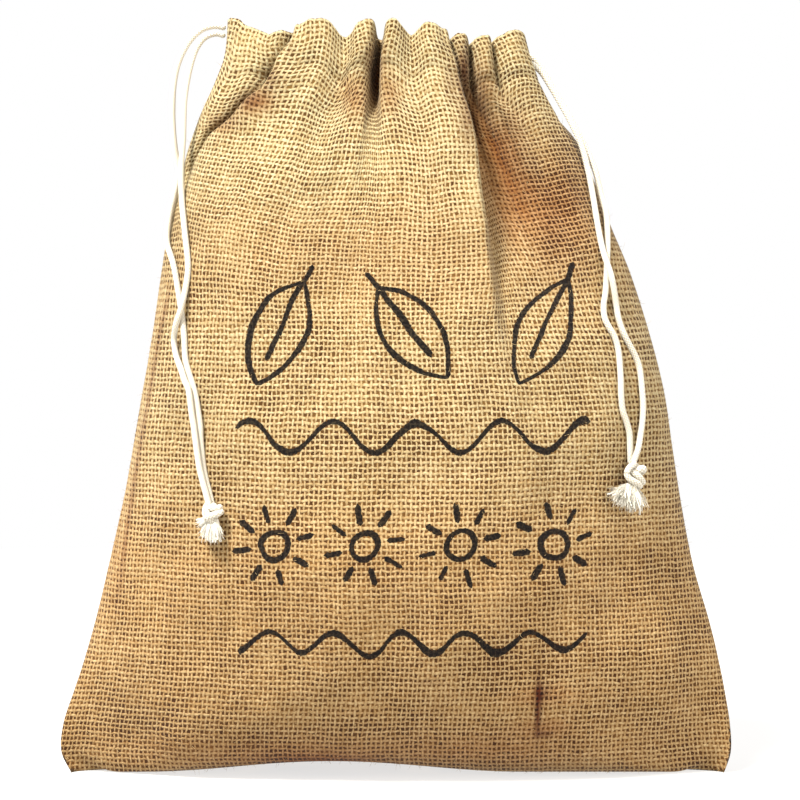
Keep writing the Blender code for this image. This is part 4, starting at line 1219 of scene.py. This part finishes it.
def only_to(tree, last, number, first_line, second_line):
    """Distance to the nearer of two lines, in the motifs from the first to the last number."""
    nearer = node(tree, "MINIMUM", first_line, second_line)
    return node(tree, "MULTIPLY_ADD", beyond(tree, number, 0.0, last), FAR_OFF, nearer)


# %% Leaves and suns
LEAF_FIRST, LEAF_PITCH, LEAF_HEIGHT = -80.0, 58.0, 203.0     # mm
LEAF_LENGTH, LEAF_WIDTH = 25.0, 12.0     # mm from the leaf's middle to its tip and its side
LEAN_LEFT, LEAN_MORE = math.radians(116.0), math.radians(-64.0)
SUN_FIRST, SUN_PITCH, SUN_HEIGHT = -74.0, 41.0, 110.0        # mm
SUN_RADIUS = 6.2                 # mm
RAYS, RAY_ENDS = 8.0, (11.5, 17.5)       # how many, and mm from the sun's middle


def leaf_lines(tree, x, z):
    """Three leaves with a midrib, |z'| = w (1 - (x' / l)^2), that lean to either side in turn."""
    number, leaf_x = repeated(tree, x, LEAF_FIRST, LEAF_PITCH)
    leaf_z = node(tree, "SUBTRACT", z, LEAF_HEIGHT)
    odd = node(tree, "FLOORED_MODULO", number, 2.0)
    lean = node(tree, "MULTIPLY_ADD", odd, LEAN_MORE, LEAN_LEFT)
    leaf = node(tree, "turned", node(tree, "join", leaf_x, leaf_z), Angle=lean)
    along, aside, _ = node(tree, "split", leaf)
    share = node(tree, "MULTIPLY", along, 1.0 / LEAF_LENGTH)
    square = node(tree, "MULTIPLY", share, share)
    half_width = node(tree, "MULTIPLY_ADD", square, -LEAF_WIDTH, LEAF_WIDTH)
    aside = node(tree, "ABSOLUTE", aside)
    blade = node(tree, "ABSOLUTE", node(tree, "SUBTRACT", aside, half_width))
    blade = node(tree, "ADD", blade, beyond(tree, along, -24.5, 24.5))
    midrib = node(tree, "ADD", aside, beyond(tree, along, -32.0, 12.0))
    return only_to(tree, 2.0, number, blade, midrib)


def sun_lines(tree, x, z):
    """Four rings with eight short rays each, in polar places."""
    number, sun_x = repeated(tree, x, SUN_FIRST, SUN_PITCH)
    sun_z = node(tree, "SUBTRACT", z, SUN_HEIGHT)
    far = node(tree, "vector", node(tree, "join", sun_x, sun_z), operation="LENGTH")
    angle = node(tree, "ARCTAN2", sun_z, sun_x)
    ray = node(tree, "FRACT", node(tree, "MULTIPLY_ADD", angle, RAYS / TURN, 100.2))
    ray = node(tree, "ABSOLUTE", node(tree, "SUBTRACT", ray, 0.5))
    ray = node(tree, "MULTIPLY", node(tree, "MULTIPLY", ray, TURN / RAYS), far)
    ray = node(tree, "ADD", ray, beyond(tree, far, *RAY_ENDS))
    ring = node(tree, "ABSOLUTE", node(tree, "SUBTRACT", far, SUN_RADIUS))
    return only_to(tree, 3.0, number, ray, ring)


# %% Brush and ink
HAND = 6.0                       # mm that the hand strays, over some 26 mm
WAVES = (157.0, 6.5, 37.0, 0.0), (66.0, 5.0, 29.0, 1.2)  # middle, rise, length (mm), phase


def with_ink(tree, cloth, height):
    """Brush ink over the cloth: full where a line is near, broken at its edge by the weave and
    thin where the brush ran dry."""
    spot = node(tree, "place")["Object"]
    hand = node(tree, "noise", spot, 38.0, 1.5)["Color"]
    hand = node(tree, "vector", hand, (HAND, 0.0, HAND), (-HAND / 2, 0.0, -HAND / 2),
                operation="MULTIPLY_ADD")
    drawn = node(tree, "vector", spot, (1000.0, 1000.0, 1000.0), hand, operation="MULTIPLY_ADD")
    x, _, z = node(tree, "split", drawn)
    distance = wave_line(tree, x, z, *WAVES[0])
    for line in (wave_line(tree, x, z, *WAVES[1]), leaf_lines(tree, x, z), sun_lines(tree, x, z)):
        distance = node(tree, "MINIMUM", distance, line)
    press = node(tree, "noise", spot, 70.0, 2.0)[0]
    rough = node(tree, "noise", spot, 900.0, 2.0)[0]
    half_line = node(tree, "MULTIPLY_ADD", press, 1.6, 0.35)
    edge = node(tree, "MULTIPLY_ADD", rough, 0.9, -0.45)
    edge = node(tree, "MULTIPLY_ADD", height, -0.3, edge)
    reach = node(tree, "ADD", node(tree, "SUBTRACT", distance, half_line), edge)
    inked = node(tree, "ramp", reach, -0.25, 0.15, 1.0, 0.0)
    front_only = node(tree, "value", attribute_name="front")["Fac"]
    worn = node(tree, "ramp", rough, 0.3, 0.75, 1.0, 0.93)
    inked = node(tree, "MULTIPLY", node(tree, "MULTIPLY", inked, front_only), worn)
    return node(tree, "blend", inked, cloth, colour("#090606"))


# %% Jute yarns
YARN_RELIEF = 0.0007             # metres from the holes to the top of the yarns
# Painted shade in the weave: holes are dark below the first pair of heights, and flanks are darker
# up to the second pair, under the pale yarn tops.
HOLE_TO_FLANK, FLANK_TO_TOP = (0.02, 0.2), (0.38, 0.95)  # heights of the weave, as shares
# Tints that multiply the cloth's colour, each as strongly as its named number says. They carry
# painted shade in folds, recesses and towards the bottom, as well as real stains and browning.
TINTS_AND_PAINTED_SHADE = (("browning_and_painted_shade", "#c98f5c"), ("painted_lower_shade", "#f5ad50"), ("stains_and_painted_shade", "#80503f"))


def jute_hessian():
    """Straw-coloured jute. Yarn tops are pale; the flanks are painted in browns and the holes
    anything from browns to nearly black, as painted shade between the yarns and of the dark inside
    seen through them. Every yarn has its own tone, and streaks along it show its coarse fibres."""
    made, tree, shader = new_finish("jute_hessian", {
        "Roughness": 0.9, "Specular IOR Level": 0.05, "Sheen Weight": 0.05,
        "Sheen Roughness": 0.6})
    height, tone, streak, hole = woven_yarns(tree, node(tree, "pattern"))
    yarn = node(tree, "blend", tone, colour("#97865e"), colour("#b4ab87"))
    yarn = node(tree, "times_colour", 1.0, yarn, node(tree, "ramp", streak, 0.25, 0.7, 0.64, 1.14))
    # Painted shade: the yarns' flanks and the holes between the yarns are mixed towards dark
    # colours.
    shaded_flank = node(tree, "blend", node(tree, "ramp", height, *FLANK_TO_TOP), colour("#745630"), yarn)
    painted_hole_shade = node(tree, "blend", node(tree, "ramp", hole, 0.1, 1.0),
                  colour("#38230b"), colour("#6c5229"))
    cloth = node(tree, "blend", node(tree, "ramp", height, *HOLE_TO_FLANK), painted_hole_shade, shaded_flank)
    for label, tint in TINTS_AND_PAINTED_SHADE:
        amount = node(tree, "value", attribute_name=label)["Fac"]
        cloth = node(tree, "times_colour", amount, cloth, colour(tint))
    feed(tree, shader.inputs["Base Color"], with_ink(tree, cloth, height))
    feed(tree, shader.inputs["Normal"],
         node(tree, "bump", Strength=0.9, Distance=YARN_RELIEF, Height=height))
    return made


hessian = jute_hessian()
print("finish:", hessian.name, "with", len(hessian.node_tree.nodes), "nodes")

# %% [markdown]
# ## Stains, painted shade and open places
#
# A used sack isn't one colour. A few spots are stained and here and there the weave has opened.
# Its folds, its recesses and its foot are painted darker as painted shade, and the whole cloth is
# painted darker and warmer towards the bottom. Most of these are soft round patches, added up at
# every point of the cloth, and all are handed to the finish as named numbers.

# %% Tables of patches
# x, height, reach sideways and up (mm), strength.
OPEN_PATCHES = ((76, 268, 14, 32, 1.1), (60, 60, 40, 16, 0.5),
                (-128, 24, 22, 14, 0.8), (128, 70, 18, 50, 0.5),
                (-30, 20, 60, 14, 0.4), (0, 150, 30, 20, 0.3),
                (38, 280, 8, 34, -1), (-66, 328, 11, 13, -0.8),
                (-14, 276, 60, 56, -0.15))
# Mostly painted shade: in the recesses and hollows of the heading, on the right neck that faces
# away from the key light, across the middle and along the foot. The two beside the reddish mark low
# on the right are real browning.
BROWNING_AND_SHADE_PATCHES = ((79, 264, 19, 36, 0.46), (12, 282, 14, 26, 0.15),
                 (0, 0, 200, 30, 0.12), (-10, 238, 90, 26, 0.2),
                 (68, 262, 16, 24, 0.24), (38, 312, 7, 14, 0.5),
                 (50, 291, 11, 16, 0.45), (54, 270, 10, 14, 0.2),
                 (-20, 310, 6, 9, 0.4), (-2, 309, 5, 9, 0.45),
                 (-66, 304.5, 7, 5, 0.4), (-78, 295, 8, 6, 0.4),
                 (-34, 6, 26, 6, 0.6),
                 (-9, 322, 5, 12, 0.4), (-15, 304, 10, 9, 0.3),
                 (-60, 306, 7, 6, 0.5), (66, 41, 16, 4, 0.4),
                 (66, 26, 13, 4, 0.4), (-55, 12, 60, 9, 0.3),
                 (40, 14, 40, 9, 0.3))
# The first five are real stains and marks. The rest are painted shade: in the pocket of the left
# crease, in the hollow in the heading's middle, in the recess beside the right pleat and on the
# right neck, and under the foot's arch.
STAIN_AND_SHADE_PATCHES = ((63.2, 36, 1.4, 13, 1.3), (64.8, 42.5, 2.8, 2.6, 0.8), (66, 22.5, 4, 1.5, 0.7),
          (15, 49, 5, 1.5, 0.35), (11.5, 60, 1, 3.6, 0.3),
          (-47.5, 331, 2, 5, 0.4), (-56, 316, 4, 5.5, 0.5),
          (-65, 306.5, 7, 4.5, 0.55), (-76, 298, 8, 3.5, 0.3),
          (-9.5, 323, 5.5, 9, 0.3), (30.5, 320, 3.5, 11, 0.8),
          (24, 314, 3, 10, 0.4), (31.5, 297, 4.5, 16, 0.5),
          (50, 290, 9, 16, 0.32),
          (56, 270, 10, 14, 0.27), (39, 308, 5, 12, 0.3),
          (-34, 5, 26, 5, 0.4), (70, 245, 5, 22, 0.18))
# The seam's allowance shows through the front beside the left seam: height and x of its line.
SEAM_LINE = np.array(((60, -128.5), (120, -120.6), (151.6, -115.5), (165.3, -113.2),
                      (183.5, -110), (201.8, -106.4), (220, -102.3)))
print("patches:", len(OPEN_PATCHES) + len(BROWNING_AND_SHADE_PATCHES) + len(STAIN_AND_SHADE_PATCHES))


# %% Named numbers for every point
def patches(table, x, z):
    """Sum of soft round patches, strength exp(-dd)."""
    total = np.zeros_like(x)
    for at_x, at_z, reach_x, reach_z, strength in table:
        total += strength * np.exp(-((x - at_x) / reach_x) ** 2 - ((z - at_z) / reach_z) ** 2)
    return total


sheet_rows, sheet_columns = sheet_points.shape[:2]
sheet_x, sheet_y, sheet_z = (sheet_points[..., axis] for axis in range(3))
outer = (np.arange(sheet_rows) < len(HEIGHTS))[:, None]
on_front = outer & (np.arange(sheet_columns) < front_cloth.shape[1])[None, :]
# The patches of painted shade fade out towards the back.
towards_front = 1.0 - 0.75 * smooth(sheet_y, -6.0, 26.0)
# Painted shade: the deep valleys of the heading are painted darker the further they sink in.
painted_valley_shade = 0.6 * smooth(-sheet_stand, 3.0, 15.0) * smooth(sheet_z, 225.0, 255.0)
seam_x = np.interp(sheet_z, SEAM_LINE[:, 0], SEAM_LINE[:, 1])
along_strip = beside_seam(sheet_z) * on_front
seam_brown = np.exp(-(np.abs(sheet_x - seam_x) / 1.0) ** 2) * along_strip
in_strip = smooth((seam_x - sheet_x) / 1.5) * along_strip
values = {
    "front": on_front.astype(float),
    "open_weave": (patches(OPEN_PATCHES, sheet_x, sheet_z) - 1.3 * in_strip) * on_front,
    # Painted shade: the cloth gets darker and warmer towards the bottom, where less light falls.
    "painted_lower_shade": 0.15 * smooth(sheet_z, 285.0, 235.0) + 0.22 * smooth(sheet_z, 170.0, 90.0),
    # Painted shade in the folds, recesses and along the foot, with real browning along the seam
    # allowance and beside the reddish mark.
    "browning_and_painted_shade": np.clip(patches(BROWNING_AND_SHADE_PATCHES, sheet_x, sheet_z) * outer * towards_front + painted_valley_shade
                     + 0.4 * seam_brown + 0.12 * in_strip, 0.0, 1.0),
    # Real stains and the seam line, with painted shade in the creases and recesses of the heading
    # and under the foot.
    "stains_and_painted_shade": np.clip(patches(STAIN_AND_SHADE_PATCHES, sheet_x, sheet_z) * on_front + 0.35 * seam_brown, 0.0, 1.0),
}
for label, numbers in values.items():
    print(label, "up to", numbers.max().round(2))

# %% The sack
SAME_PLACE = 4                   # decimals of a millimetre to which points are the same one

rows, columns, faces = closed_grid(sheet_rows, sheet_columns)
points = sheet_points.reshape(-1, 3)
_, first_of, same_as = np.unique(np.round(points, SAME_PLACE), axis=0,
                                 return_index=True, return_inverse=True)
sheet_uv = np.stack((sheet_across[rows, columns], sheet_up[rows, columns]), axis=-1)
sack = piece_of("sack_cloth", points[first_of], same_as.ravel()[faces], hessian, sheet_uv,
                {label: numbers.reshape(-1)[first_of] for label, numbers in values.items()})
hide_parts("sack")

# %% [markdown]
# ## Loose fibres
#
# Jute is spun from coarse, stiff fibres, and some always stand off the cloth. They blur its outline
# and catch the light. Blender's own hair would look the same, but an export keeps only meshes. So
# each is a bent tube with three sides that starts on a chance point of the cloth and leaves it at
# a slant.

# %% Shapes of the fibres
FIBRES = 5200
FIBRE_RINGS = 5
LOWEST = 0.3                     # mm above the floor


def loose_fibres(count):
    """Paths root + length (t way + bend tt), where way is the cloth's outward direction and a
    chance one mixed, and radii that taper towards the tip."""
    row = chance.integers(3, len(HEIGHTS) - 2, count)
    column = chance.integers(0, outside.shape[1] - 1, count)
    root = outside[row, column]
    out_way = -closed_round(front_in, back_in)[row, column]
    any_way = chance.normal(0.0, 0.5, (count, 3))
    way = unit(out_way * chance.uniform(0.15, 0.8, (count, 1)) + any_way)
    way += out_way * np.clip(0.12 - (way * out_way).sum(axis=1), 0.0, 1.0)[:, None]
    size = chance.uniform(0.8, 3.2, (count, 1, 1)) * chance.uniform(0.5, 1.0, (count, 1, 1))
    t = np.linspace(0.0, 1.0, FIBRE_RINGS)[None, :, None]
    bend = chance.normal(0.0, 0.35, (count, 1, 3)) * t ** 2
    routes = root[:, None] + out_way[:, None] * 0.1 + size * (t * way[:, None] + bend)
    routes[..., 2] = np.maximum(routes[..., 2], LOWEST)
    taper = np.linspace(1.0, 0.35, FIBRE_RINGS)[None, :]
    return many_tubes(routes, chance.uniform(0.05, 0.085, (count, 1)) * taper, 3)


# %% The loose fibres
def jute_fibre():
    """Single jute fibres, dry and slightly shiny: they give the eye the fuzz on the yarns."""
    made, tree, shader = new_finish("jute_fibre", {"Roughness": 0.6, "Specular IOR Level": 0.3})
    tone = node(tree, "noise", node(tree, "place")["Object"], 300.0, 1.0)[0]
    mixed = node(tree, "blend", tone, colour("#8a6a3c"), colour("#d3bd8d"))
    feed(tree, shader.inputs["Base Color"], mixed)
    return made


points, faces, uv = loose_fibres(FIBRES)
fibres = piece_of("loose_fibres", points, faces, jute_fibre(), uv)
